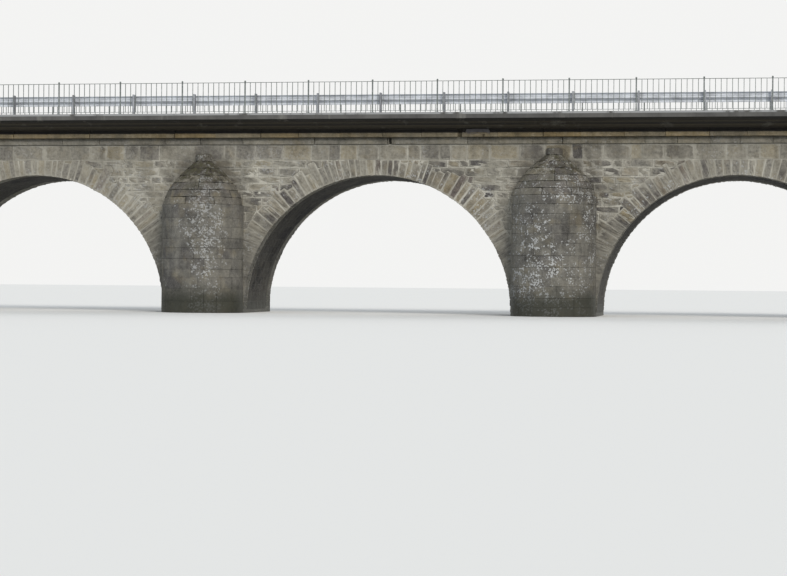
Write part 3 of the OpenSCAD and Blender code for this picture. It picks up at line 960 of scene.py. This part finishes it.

# %% [markdown]
# ## The stone finishes
#
# Every stone has its own tone: Geometry's Random Per Island gives each loose block of a piece one
# number, and the granite group turns it into dark, grey, ochre or pale stone. The mix of tones, the
# lichen, the soot and the moss differ between walls, noses, caps and bands, so that each gets a material
# of its own from the same two groups. The vaults are tinted dark as painted shade under the arches, and
# the cornice carries painted shade under the slab and a warm tint of painted sunlight.

# %% Make a stone material
def shader(name):
    material = bpy.data.materials.new(name)
    material.use_nodes = True
    tree = material.node_tree
    return material, tree, tree.nodes["Principled BSDF"], put(tree, "TexCoord").outputs["Object"]


def stone_finish(name, low_tone, high_tone, lichen, soot, moss, tide, lime=0.0, tint=(1, 1, 1, 1), earth=None, painted_top_shade=0.0, band=None, coat=0.0, halo=0.0,
                 smear=0.0, bump=0.004, painted_shade_above=None):
    material, tree, bsdf, where = shader(name)
    island = put(tree, "NewGeometry").outputs["Random Per Island"]
    tone = rise(tree, island, 0.0, 1.0, low_tone, high_tone)
    grain = tree.nodes.new("ShaderNodeGroup")
    grain.node_tree = bpy.data.node_groups["granite_grain"]
    tree.links.new(where, grain.inputs["Place"])
    tree.links.new(tone, grain.inputs["Tone"])
    base = blend(tree, 1.0, grain.outputs["Color"], tint, "MULTIPLY")
    if smear:
        rim = put(tree, "Attribute", attribute_name="rim").outputs["Fac"]
        ragged = math_node(tree, "ADD", math_node(tree, "MULTIPLY", rim, 0.75), math_node(tree, "MULTIPLY", noise(tree, where, 8.0, 6.0, 0.72), 0.95))
        amount = rise(tree, noise(tree, where, 0.9, 3.0), 0.38, 0.60, 0.25, smear)
        mortar = blend(tree, rise(tree, noise(tree, where, 2.0, 5.0), 0.35, 0.65), (0.31, 0.295, 0.25, 1), (0.52, 0.50, 0.44, 1))
        base = blend(tree, math_node(tree, "MULTIPLY", rise(tree, ragged, 0.98, 1.12), amount), base, mortar)
    weather = tree.nodes.new("ShaderNodeGroup")
    weather.node_tree = bpy.data.node_groups["weathering"]
    tree.links.new(base, weather.inputs["Color"])
    tree.links.new(where, weather.inputs["Place"])
    for label, value in (("Lichen", lichen), ("Soot", soot), ("Moss", moss), ("Tide", tide), ("Lime", lime), ("Coat", coat), ("Halo", halo)):
        weather.inputs[label].default_value = value
    colour = weather.outputs["Color"]
    if band:
        along = put(tree, "SeparateXYZ", {0: where}).outputs[0]
        near = rise(tree, math_node(tree, "ABSOLUTE", math_node(tree, "SUBTRACT", along, band)), 0.20, 0.75, 0.30, -0.06)
        tree.links.new(math_node(tree, "MAXIMUM", near, rise(tree, along, 0.0, 2.0, -0.10, 0.05)), weather.inputs["Spread"])
    # Faces that look up are darkened unevenly: painted shade of the slab over the cornice's slope.
    if painted_top_shade:
        facing = put(tree, "SeparateXYZ", {0: put(tree, "NewGeometry").outputs["Normal"]}).outputs[2]
        top_shade_mask = math_node(tree, "MULTIPLY", rise(tree, facing, 0.2, 0.6), rise(tree, noise(tree, where, 4.0, 4.0), 0.2, 0.55, 0.5 * painted_top_shade, painted_top_shade))
        colour = blend(tree, top_shade_mask, colour, (0.022, 0.022, 0.020, 1))
    # Everything above this level is painted near black: painted shade of the slab on the cornice's slope and fillet.
    if painted_shade_above:
        above = rise(tree, put(tree, "SeparateXYZ", {0: where}).outputs[2], painted_shade_above, painted_shade_above + 0.015, 0.0, 0.88)
        colour = blend(tree, above, colour, (0.024, 0.022, 0.022, 1))
    if earth:
        x, y, z = put(tree, "SeparateXYZ", {0: where}).outputs
        depth = math_node(tree, "ADD", rise(tree, z, earth - 0.5, earth + 0.3, -0.26, 0.0), rise(tree, x, -1.0, 1.0, 0.02, -0.08))
        level = rise(tree, put(tree, "SeparateXYZ", {0: put(tree, "NewGeometry").outputs["Normal"]}).outputs[2], 0.1, 0.8, -0.08, 0.07)
        crumbs = rise(tree, math_node(tree, "ADD", noise(tree, where, 5.5, 6.0, 0.75), math_node(tree, "ADD", depth, level)), 0.44, 0.56, 0.0, 0.85)
        soil = blend(tree, rise(tree, noise(tree, where, 9.0, 4.0), 0.4, 0.6), (0.040, 0.034, 0.026, 1), (0.066, 0.063, 0.034, 1))
        colour = blend(tree, crumbs, colour, soil)
    height = math_node(tree, "ADD", grain.outputs["Height"], weather.outputs["Height"])
    relief = put(tree, "Bump", {"Strength": 1.0, "Distance": bump, "Height": height})
    tree.links.new(colour, bsdf.inputs["Base Color"])
    tree.links.new(weather.outputs["Roughness"], bsdf.inputs["Roughness"])
    tree.links.new(relief.outputs["Normal"], bsdf.inputs["Normal"])
    bsdf.inputs["Specular IOR Level"].default_value = 0.25
    return material


finishes = {
    "wall": stone_finish("wall_granite", 0.0, 1.0, 0.55, 0.25, 0.05, 0.40, 0.55, coat=1.0, halo=1.0, smear=1.0),
    "ring": stone_finish("ring_granite", 0.0, 0.95, 0.60, 0.20, 0.0, 0.50, 0.60, (1.05, 1.04, 1.03, 1), coat=1.0, smear=0.90),
    "top": stone_finish("top_course_granite", 0.02, 0.85, 0.30, 0.35, 0.0, 0.0, 0.5, halo=0.8, smear=0.8),
    # The vault stones' dark tint is painted shade under the arches.
    "vault": stone_finish("vault_granite", 0.0, 0.6, 0.15, 0.65, 0.0, 0.45, 0.2, (0.20, 0.20, 0.21, 1)),
    "nose": stone_finish("nose_granite", 0.28, 0.58, 1.0, 0.35, 0.10, 0.72, 0.3, (0.86, 0.88, 0.92, 1), band=-5.15),
    "cap": stone_finish("cap_granite", 0.10, 0.62, 0.6, 0.45, 0.35, 0.0, 0.2, (0.92, 0.91, 0.90, 1), earth=cap_z[-1] + 0.75, band=-5.15),
    "string": stone_finish("string_granite", 0.40, 0.72, 0.25, 0.35, 0.0, 0.0, 0.4, (1.02, 1.01, 0.98, 1)),
    # The cornice's warm golden tint is painted sunlight, and the darkening of its slope and fillet is painted shade of
    # the slab.
    "cornice": stone_finish("cornice_granite", 0.45, 0.85, 0.10, 0.40, 0.30, 0.0, 0.2, (1.16, 1.03, 0.80, 1), painted_top_shade=0.95,
                            painted_shade_above=cornice_z + 0.125),
}
print("stone finishes:", len(finishes))

# %% [markdown]
# ## Mortar, and rough masonry seen at the ends
#
# The frame's walls show between the stones as wide flush joints of pale lime mortar, sandy and cracked.
# The bridge's ends and the sides of the piers are rough masonry: cells of a Voronoi pattern give
# the stones, and the distance to their edges gives the joints.

# %% Mortar and rubble finishes
def mortar_finish(name, pale, dark, soot, tide, lime=0.5, coat=1.0, halo=0.0):
    material, tree, bsdf, where = shader(name)
    sand = noise(tree, where, 30.0, 5.0, 0.7)
    base = blend(tree, rise(tree, noise(tree, where, 2.0, 5.0), 0.35, 0.65), dark, pale)
    base = blend(tree, rise(tree, sand, 0.45, 0.75, 0.0, 0.35), base, (0.16, 0.145, 0.11, 1))
    weather = tree.nodes.new("ShaderNodeGroup")
    weather.node_tree = bpy.data.node_groups["weathering"]
    tree.links.new(base, weather.inputs["Color"])
    tree.links.new(where, weather.inputs["Place"])
    for label, value in (("Lichen", 0.3), ("Soot", soot), ("Moss", 0.05), ("Tide", tide), ("Lime", lime), ("Coat", coat), ("Halo", halo)):
        weather.inputs[label].default_value = value
    relief = put(tree, "Bump", {"Strength": 1.0, "Distance": 0.003, "Height": sand})
    tree.links.new(weather.outputs["Color"], bsdf.inputs["Base Color"])
    tree.links.new(weather.outputs["Roughness"], bsdf.inputs["Roughness"])
    tree.links.new(relief.outputs["Normal"], bsdf.inputs["Normal"])
    return material


def rubble_finish(name, tide, core=None):
    """Rough masonry. With core, only on faces that look along the bridge, and the mortar colour elsewhere."""
    material, tree, bsdf, where = shader(name)
    rough = tree.nodes.new("ShaderNodeGroup")
    rough.node_tree = bpy.data.node_groups["rough_courses"]
    tree.links.new(where, rough.inputs["Place"])
    base, height = rough.outputs["Color"], rough.outputs["Height"]
    if core:
        along = math_node(tree, "ABSOLUTE", put(tree, "SeparateXYZ", {0: put(tree, "NewGeometry").outputs["Normal"]}).outputs[0])
        plain = blend(tree, rise(tree, noise(tree, where, 2.0, 5.0), 0.35, 0.65), core[1], core[0])
        plain = blend(tree, rise(tree, noise(tree, where, 30.0, 5.0, 0.7), 0.45, 0.75, 0.0, 0.35), plain, (0.16, 0.145, 0.11, 1))
        base = blend(tree, rise(tree, along, 0.90, 0.95), plain, base)
    weather = tree.nodes.new("ShaderNodeGroup")
    weather.node_tree = bpy.data.node_groups["weathering"]
    tree.links.new(base, weather.inputs["Color"])
    tree.links.new(where, weather.inputs["Place"])
    for label, value in (("Lichen", 0.3), ("Soot", 0.25), ("Moss", 0.1), ("Tide", tide), ("Lime", 0.4), ("Coat", 1.0 if core else 0.0),
                         ("Halo", 1.0 if core else 0.0)):
        weather.inputs[label].default_value = value
    relief = put(tree, "Bump", {"Strength": 1.0, "Distance": 0.006, "Height": height})
    tree.links.new(weather.outputs["Color"], bsdf.inputs["Base Color"])
    tree.links.new(weather.outputs["Roughness"], bsdf.inputs["Roughness"])
    tree.links.new(relief.outputs["Normal"], bsdf.inputs["Normal"])
    return material


tree, into, out = socket_group("rough_courses", [("Place", "Vector", None)], [("Color", "Color"), ("Height", "Float")])
place_in = into.outputs[0]
bend = put(tree, "TexNoise", {"Vector": place_in, "Scale": 1.5, "Detail": 2.0}).outputs["Color"]
bent = put(tree, "VectorMath", {0: place_in, 1: put(tree, "VectorMath", {0: bend, 3: 0.12}, operation="SCALE").outputs[0]}, operation="ADD").outputs[0]
cells = stretched(tree, bent, (2.4, 2.4, 4.4))
stones = put(tree, "TexVoronoi", {"Vector": cells, "Scale": 1.0, "Randomness": 0.55}, feature="F1", distance="CHEBYCHEV")
seams = put(tree, "TexVoronoi", {"Vector": cells, "Scale": 1.0, "Randomness": 0.55}, feature="DISTANCE_TO_EDGE").outputs["Distance"]
stone = rise(tree, seams, 0.030, 0.065)
grain = tree.nodes.new("ShaderNodeGroup")
grain.node_tree = bpy.data.node_groups["granite_grain"]
tree.links.new(place_in, grain.inputs["Place"])
cell_tone = put(tree, "SeparateColor", {0: stones.outputs["Color"]}).outputs[0]
tree.links.new(cell_tone, grain.inputs["Tone"])
tree.links.new(blend(tree, stone, (0.36, 0.34, 0.28, 1), grain.outputs["Color"]), out.inputs["Color"])
tree.links.new(math_node(tree, "ADD", math_node(tree, "MULTIPLY", stone, 3.0), grain.outputs["Height"]), out.inputs["Height"])

lime_pale, lime_dark = (0.66, 0.64, 0.57, 1), (0.36, 0.34, 0.290, 1)
finishes["mortar"] = mortar_finish("lime_mortar", lime_pale, lime_dark, 0.2, 0.25)
finishes["wall_core"] = rubble_finish("mortar_and_wall_ends", 0.25, core=(lime_pale, lime_dark))
finishes["bed"] = mortar_finish("dark_bedding", (0.046, 0.043, 0.038, 1), (0.018, 0.017, 0.015, 1), 0.4, 0.4, lime=0.1, coat=0.0)
finishes["rubble"] = rubble_finish("rough_masonry", 0.4)

# %% [markdown]
# ## Concrete and asphalt
#
# The slab was cast between boards. On its sloping underside they left narrow ribs that run along the
# bridge; the underside is painted almost black as painted shade, and its edge stays grey with pale and
# dark runs and a painted highlight along its top. Kerb and footway are plainer castings, and the road is
# a dark rolled layer with pale grit.

# %% Slab, kerb, footway and road finishes
# Its last amount sets how strong the painted shade on the underside, the painted highlight along the top edge, the dark
# runs and the pale lime streaks are.
def concrete_finish(name, pale, dark, boards, crust_and_painted_light):
    material, tree, bsdf, where = shader(name)
    x, y, z = put(tree, "SeparateXYZ", {0: where}).outputs
    facing = put(tree, "SeparateXYZ", {0: put(tree, "NewGeometry").outputs["Normal"]}).outputs[2]
    below = rise(tree, facing, -0.12, -0.3)
    cloud = noise(tree, where, 1.4, 5.0, 0.65)
    base = blend(tree, rise(tree, cloud, 0.32, 0.68), dark, pale)
    pores = noise(tree, where, 38.0, 4.0, 0.7)
    base = blend(tree, rise(tree, pores, 0.58, 0.75, 0.0, 0.35), base, (0.09, 0.088, 0.08, 1))
    rows = math_node(tree, "DIVIDE", math_node(tree, "ADD", y, math_node(tree, "MULTIPLY", math_node(tree, "ABSOLUTE", z), 0.4)), 0.11)
    board = put(tree, "TexWhiteNoise", {"W": math_node(tree, "FLOOR", rows)}, noise_dimensions="1D").outputs["Value"]
    edge = rise(tree, math_node(tree, "ABSOLUTE", math_node(tree, "SUBTRACT", math_node(tree, "FRACT", rows), 0.5)), 0.44, 0.49)
    # The downward faces are painted almost black: painted shade under the overhanging slab, over real board marks.
    soffit_in_painted_shade = blend(tree, board, (0.008, 0.008, 0.009, 1), (0.120, 0.105, 0.075, 1))
    soffit_in_painted_shade = blend(tree, edge, soffit_in_painted_shade, (0.005, 0.005, 0.005, 1))
    soffit_in_painted_shade = blend(tree, rise(tree, noise(tree, stretched(tree, where, (0.35, 2.0, 2.0)), 1.0, 4.0), 0.52, 0.78, 0.0, 0.55), soffit_in_painted_shade, (0.085, 0.075, 0.055, 1))
    base = blend(tree, math_node(tree, "MULTIPLY", below, crust_and_painted_light), base, soffit_in_painted_shade)
    run = noise(tree, stretched(tree, where, (3.2, 3.2, 0.35)), 1.0, 5.0, 0.7)
    base = blend(tree, math_node(tree, "MULTIPLY", rise(tree, run, 0.50, 0.72), 0.45 * crust_and_painted_light), base, (0.05, 0.048, 0.045, 1))
    lime = noise(tree, stretched(tree, where, (1.7, 1.7, 0.3)), 1.0, 4.0, 0.7)
    base = blend(tree, math_node(tree, "MULTIPLY", rise(tree, lime, 0.58, 0.74), 0.35 * crust_and_painted_light), base, (0.42, 0.41, 0.37, 1))
    # A pale band along the top of the slab's edge is a painted highlight where the top edge catches light.
    painted_lip_highlight = math_node(tree, "MULTIPLY", rise(tree, z, deck_z - 0.060, deck_z - 0.045), rise(tree, noise(tree, stretched(tree, where, (2.2, 1, 1)), 1.0, 4.0), 0.36, 0.46))
    base = blend(tree, math_node(tree, "MULTIPLY", painted_lip_highlight, 0.9 * crust_and_painted_light), base, (0.40, 0.41, 0.42, 1))
    height = math_node(tree, "ADD", math_node(tree, "MULTIPLY", pores, 0.5), math_node(tree, "MULTIPLY", math_node(tree, "MULTIPLY", edge, below), boards))
    relief = put(tree, "Bump", {"Strength": 1.0, "Distance": 0.004, "Height": height})
    tree.links.new(base, bsdf.inputs["Base Color"])
    tree.links.new(rise(tree, cloud, 0.3, 0.7, 0.78, 0.92), bsdf.inputs["Roughness"])
    tree.links.new(relief.outputs["Normal"], bsdf.inputs["Normal"])
    return material


finishes["slab"] = concrete_finish("board_marked_concrete", (0.140, 0.138, 0.132, 1), (0.068, 0.067, 0.066, 1), 2.0, 1.0)
finishes["walk"] = concrete_finish("footway_concrete", (0.30, 0.30, 0.28, 1), (0.20, 0.20, 0.19, 1), 0.0, 0.2)
finishes["patch"] = concrete_finish("patching_mortar", (0.160, 0.152, 0.155, 1), (0.085, 0.080, 0.084, 1), 0.0, 0.0)
finishes["kerb"] = concrete_finish("kerb_concrete", (0.36, 0.355, 0.33, 1), (0.26, 0.255, 0.24, 1), 0.0, 0.25)

material, tree, bsdf, where = shader("rolled_asphalt")
grit = put(tree, "TexVoronoi", {"Vector": where, "Scale": 90.0}, feature="F1")
fleck = rise(tree, put(tree, "SeparateColor", {0: grit.outputs["Color"]}).outputs[0], 0.7, 0.95, 0.0, 0.6)
tracks = rise(tree, put(tree, "TexNoise", {"Vector": stretched(tree, where, (0.08, 1.6, 1.0)), "Scale": 1.0, "Detail": 3.0}).outputs["Fac"], 0.35, 0.65)
base = blend(tree, tracks, (0.028, 0.028, 0.030, 1), (0.060, 0.059, 0.058, 1))
base = blend(tree, fleck, base, (0.17, 0.165, 0.155, 1))
relief = put(tree, "Bump", {"Strength": 0.8, "Distance": 0.004, "Height": grit.outputs["Distance"]})
tree.links.new(base, bsdf.inputs["Base Color"])
tree.links.new(rise(tree, tracks, 0.0, 1.0, 0.92, 0.75), bsdf.inputs["Roughness"])
tree.links.new(relief.outputs["Normal"], bsdf.inputs["Normal"])
finishes["road"] = material

# %% [markdown]
# ## Steel finishes
#
# The guardrail is hot-dip galvanised: a dull zinc skin with a faint pattern of crystals, pale where
# it has chalked and brown where rain has stood. The railing has the same skin under worn grey-green
# paint. Metallic and roughness follow the same masks, so that rust is neither shiny nor metal.

# %% Zinc and painted steel
def steel_finish(name, pale, dark, paint, metal, rust, uneven=0.0):
    material, tree, bsdf, where = shader(name)
    spangle = put(tree, "TexVoronoi", {"Vector": where, "Scale": 45.0}, feature="F1")
    sparkle = put(tree, "SeparateColor", {0: spangle.outputs["Color"]}).outputs[0]
    cloud = noise(tree, where, 3.0, 4.0, 0.6)
    base = blend(tree, rise(tree, cloud, 0.35, 0.65), dark, pale)
    base = blend(tree, math_node(tree, "MULTIPLY", sparkle, 0.22), base, (0.75, 0.78, 0.80, 1))
    each = rise(tree, put(tree, "NewGeometry").outputs["Random Per Island"], 0.0, 1.0, 0.0, uneven)
    base = blend(tree, each, base, (0.10, 0.10, 0.11, 1))
    worn = rise(tree, noise(tree, where, 14.0, 6.0, 0.7), 0.52, 0.60)
    cover = math_node(tree, "MULTIPLY", math_node(tree, "SUBTRACT", 1.0, worn), paint[3])
    base = blend(tree, cover, base, (paint[0], paint[1], paint[2], 1))
    rusty = math_node(tree, "MULTIPLY", rise(tree, noise(tree, stretched(tree, where, (1, 1, 0.45)), 8.0, 6.0, 0.75), 0.60, 0.72), rust, True)
    base = blend(tree, rusty, base, (0.13, 0.060, 0.028, 1))
    bare = math_node(tree, "MULTIPLY", math_node(tree, "SUBTRACT", 1.0, cover), math_node(tree, "SUBTRACT", 1.0, rusty))
    tree.links.new(base, bsdf.inputs["Base Color"])
    tree.links.new(math_node(tree, "MULTIPLY", bare, metal), bsdf.inputs["Metallic"])
    tree.links.new(math_node(tree, "ADD", rise(tree, cloud, 0.3, 0.7, 0.42, 0.58), math_node(tree, "MULTIPLY", rusty, 0.3)), bsdf.inputs["Roughness"])
    height = math_node(tree, "ADD", math_node(tree, "MULTIPLY", cover, 0.3), math_node(tree, "MULTIPLY", noise(tree, where, 120.0, 3.0), 0.4))
    relief = put(tree, "Bump", {"Strength": 0.6, "Distance": 0.0006, "Height": height})
    tree.links.new(relief.outputs["Normal"], bsdf.inputs["Normal"])
    return material


finishes["zinc"] = steel_finish("galvanised_beam", (0.66, 0.69, 0.74, 1), (0.44, 0.46, 0.50, 1), (0.5, 0.5, 0.5, 0.0), 0.35, 0.25)
finishes["post_zinc"] = steel_finish("galvanised_posts", (0.40, 0.42, 0.46, 1), (0.24, 0.25, 0.27, 1), (0.5, 0.5, 0.5, 0.0), 0.5, 0.4, uneven=0.75)
finishes["railing"] = steel_finish("worn_railing_paint", (0.30, 0.32, 0.33, 1), (0.17, 0.19, 0.19, 1), (0.115, 0.135, 0.125, 0.8), 0.4, 0.5)
print("finishes:", sorted(finishes))

# %% [markdown]
# ## Dress the bridge
#
# Each new piece rides on the bridge's one body and takes one finish, and the frame's own nodes get
# theirs in their slots. Their meshes stay untouched.

# %% Assign finishes and slots
def dress(piece, finish_name):
    piece.data.materials.clear()
    piece.data.materials.append(finishes[finish_name])


for name, piece in masonry.items():
    kind = name.split("_")[0]
    dress(piece, kind)
    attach(piece, "root")
for name, piece, kind, slot in (("kerb", ends["kerb_stones"], "kerb", "kerb_concrete"), ("walk", ends["footway_bays"], "walk", "footway_concrete"),
                                ("up", steel["railing_uprights_front"], "railing", "railing_steel"),
                                ("up", steel["railing_uprights_back"], "railing", "railing_steel"),
                                ("beam", steel["beam_lengths"], "zinc", "beam_steel"), ("bolts", steel["beam_bolts"], "zinc", "beam_steel"),
                                ("anchors", steel["post_anchors"], "post_zinc", "post_steel"), ("patch", cornice_patch, "patch", "deck_concrete")):
    dress(piece, kind)
    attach(piece, "root")

for name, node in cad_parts.items():
    kind = ("wall_core" if name.startswith(("spandrel_wall", "top_course")) else
            "mortar" if name.startswith(("arch_ring", "string", "cornice")) else
            "bed" if name.startswith(("arch_barrel", "cutwater")) else
            "rubble" if name.startswith(("pier", "abutment", "spandrel_fill")) else
            "slab" if name == "deck_slab" else "road" if name == "roadway" else "walk" if name == "footway" else
            "kerb" if name == "kerb" else "railing" if name.startswith("railing") else "post_zinc" if name == "guardrail_posts" else "zinc")
    for slot in node.material_slots:
        slot.material = finishes[kind]
print("dressed", len(masonry) + len(ends) + len(steel), "pieces and", len(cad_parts), "nodes")

# %% [markdown]
# ## Floor, light and camera
#
# The bridge stands on a plain pale floor under soft daylight: one broad lamp high on the right of the
# photographed face, a weaker one from the left, one behind, and an even sky. The floor shows pale to
# the camera but gives little light back, so that the undersides stay dark. The camera is where the
# photograph was taken, low down and far off, with the same narrow angle of view.

# %% Floor and sky
nothing()
bpy.ops.mesh.primitive_plane_add(size=1200, location=(0, 0, -0.004))
floor = bpy.context.object
floor.name = "floor"
material, tree, bsdf, where = shader("pale_floor")
tree.nodes.remove(bsdf)
seen = put(tree, "LightPath")
direct = math_node(tree, "ADD", seen.outputs["Is Camera Ray"], math_node(tree, "ADD", seen.outputs["Is Glossy Ray"], seen.outputs["Is Transmission Ray"]), True)
pale = put(tree, "BsdfDiffuse", {"Color": (0.80, 0.80, 0.79, 1)})
dull = put(tree, "BsdfDiffuse", {"Color": (0.22, 0.22, 0.21, 1)})
both = put(tree, "MixShader", {0: direct, 1: dull.outputs[0], 2: pale.outputs[0]})
tree.links.new(both.outputs[0], tree.nodes["Material Output"].inputs["Surface"])
floor.data.materials.append(material)

world = bpy.data.worlds.new("even_sky")
bpy.context.scene.world = world
world.use_nodes = True
tree = world.node_tree
seen = put(tree, "LightPath")
direct = math_node(tree, "ADD", seen.outputs["Is Camera Ray"], math_node(tree, "ADD", seen.outputs["Is Glossy Ray"], seen.outputs["Is Transmission Ray"]), True)
sky = put(tree, "Background", {"Color": (0.86, 0.93, 1.0, 1), "Strength": 0.50})
backdrop = put(tree, "Background", {"Color": (0.90, 0.90, 0.89, 1), "Strength": 1.0})
both = put(tree, "MixShader", {0: direct, 1: sky.outputs[0], 2: backdrop.outputs[0]})
tree.links.new(both.outputs[0], tree.nodes["World Output"].inputs["Surface"])

# %% Lamps
def lamp(name, towards, strength, spread, colour):
    light = bpy.data.lights.new(name, "SUN")
    light.energy, light.angle, light.color = strength, math.radians(spread), colour
    thing = bpy.data.objects.new(name, light)
    bpy.context.scene.collection.objects.link(thing)
    thing.rotation_euler = Vector(towards).to_track_quat("-Z", "Y").to_euler()
    return thing


lamp("key", (-0.55, 0.85, -0.62), 1.9, 25, (1.0, 0.95, 0.87))
lamp("fill", (0.9, 0.75, -0.5), 0.55, 40, (0.92, 0.96, 1.0))
lamp("rear", (-0.3, -1.0, -0.7), 0.9, 40, (1.0, 0.98, 0.95))

# %% Camera
yaw, pitch_angle, roll = (math.radians(a) for a in (9.833, -0.085, 0.502))
forward = Vector((-math.sin(yaw) * math.cos(pitch_angle), math.cos(yaw) * math.cos(pitch_angle), math.sin(pitch_angle)))
right = Vector((math.cos(yaw), math.sin(yaw), 0))
up = right.cross(forward)
right, up = right * math.cos(roll) + up * math.sin(roll), up * math.cos(roll) - right * math.sin(roll)
lens = bpy.data.cameras.new("photo_view")
lens.sensor_fit, lens.sensor_width, lens.lens = "HORIZONTAL", 36.0, 36.0 * 2000 / 787
lens.clip_end = 3000
eye = bpy.data.objects.new("photo_view", lens)
bpy.context.scene.collection.objects.link(eye)
eye.matrix_world = Matrix.Translation((11.106, -62.566, 0.907)) @ Matrix((right, up, -forward)).transposed().to_4x4()
bpy.context.scene.camera = eye
bpy.context.scene.view_settings.view_transform = "Standard"
print("camera", [round(c, 2) for c in eye.location], "lens", round(lens.lens, 2))
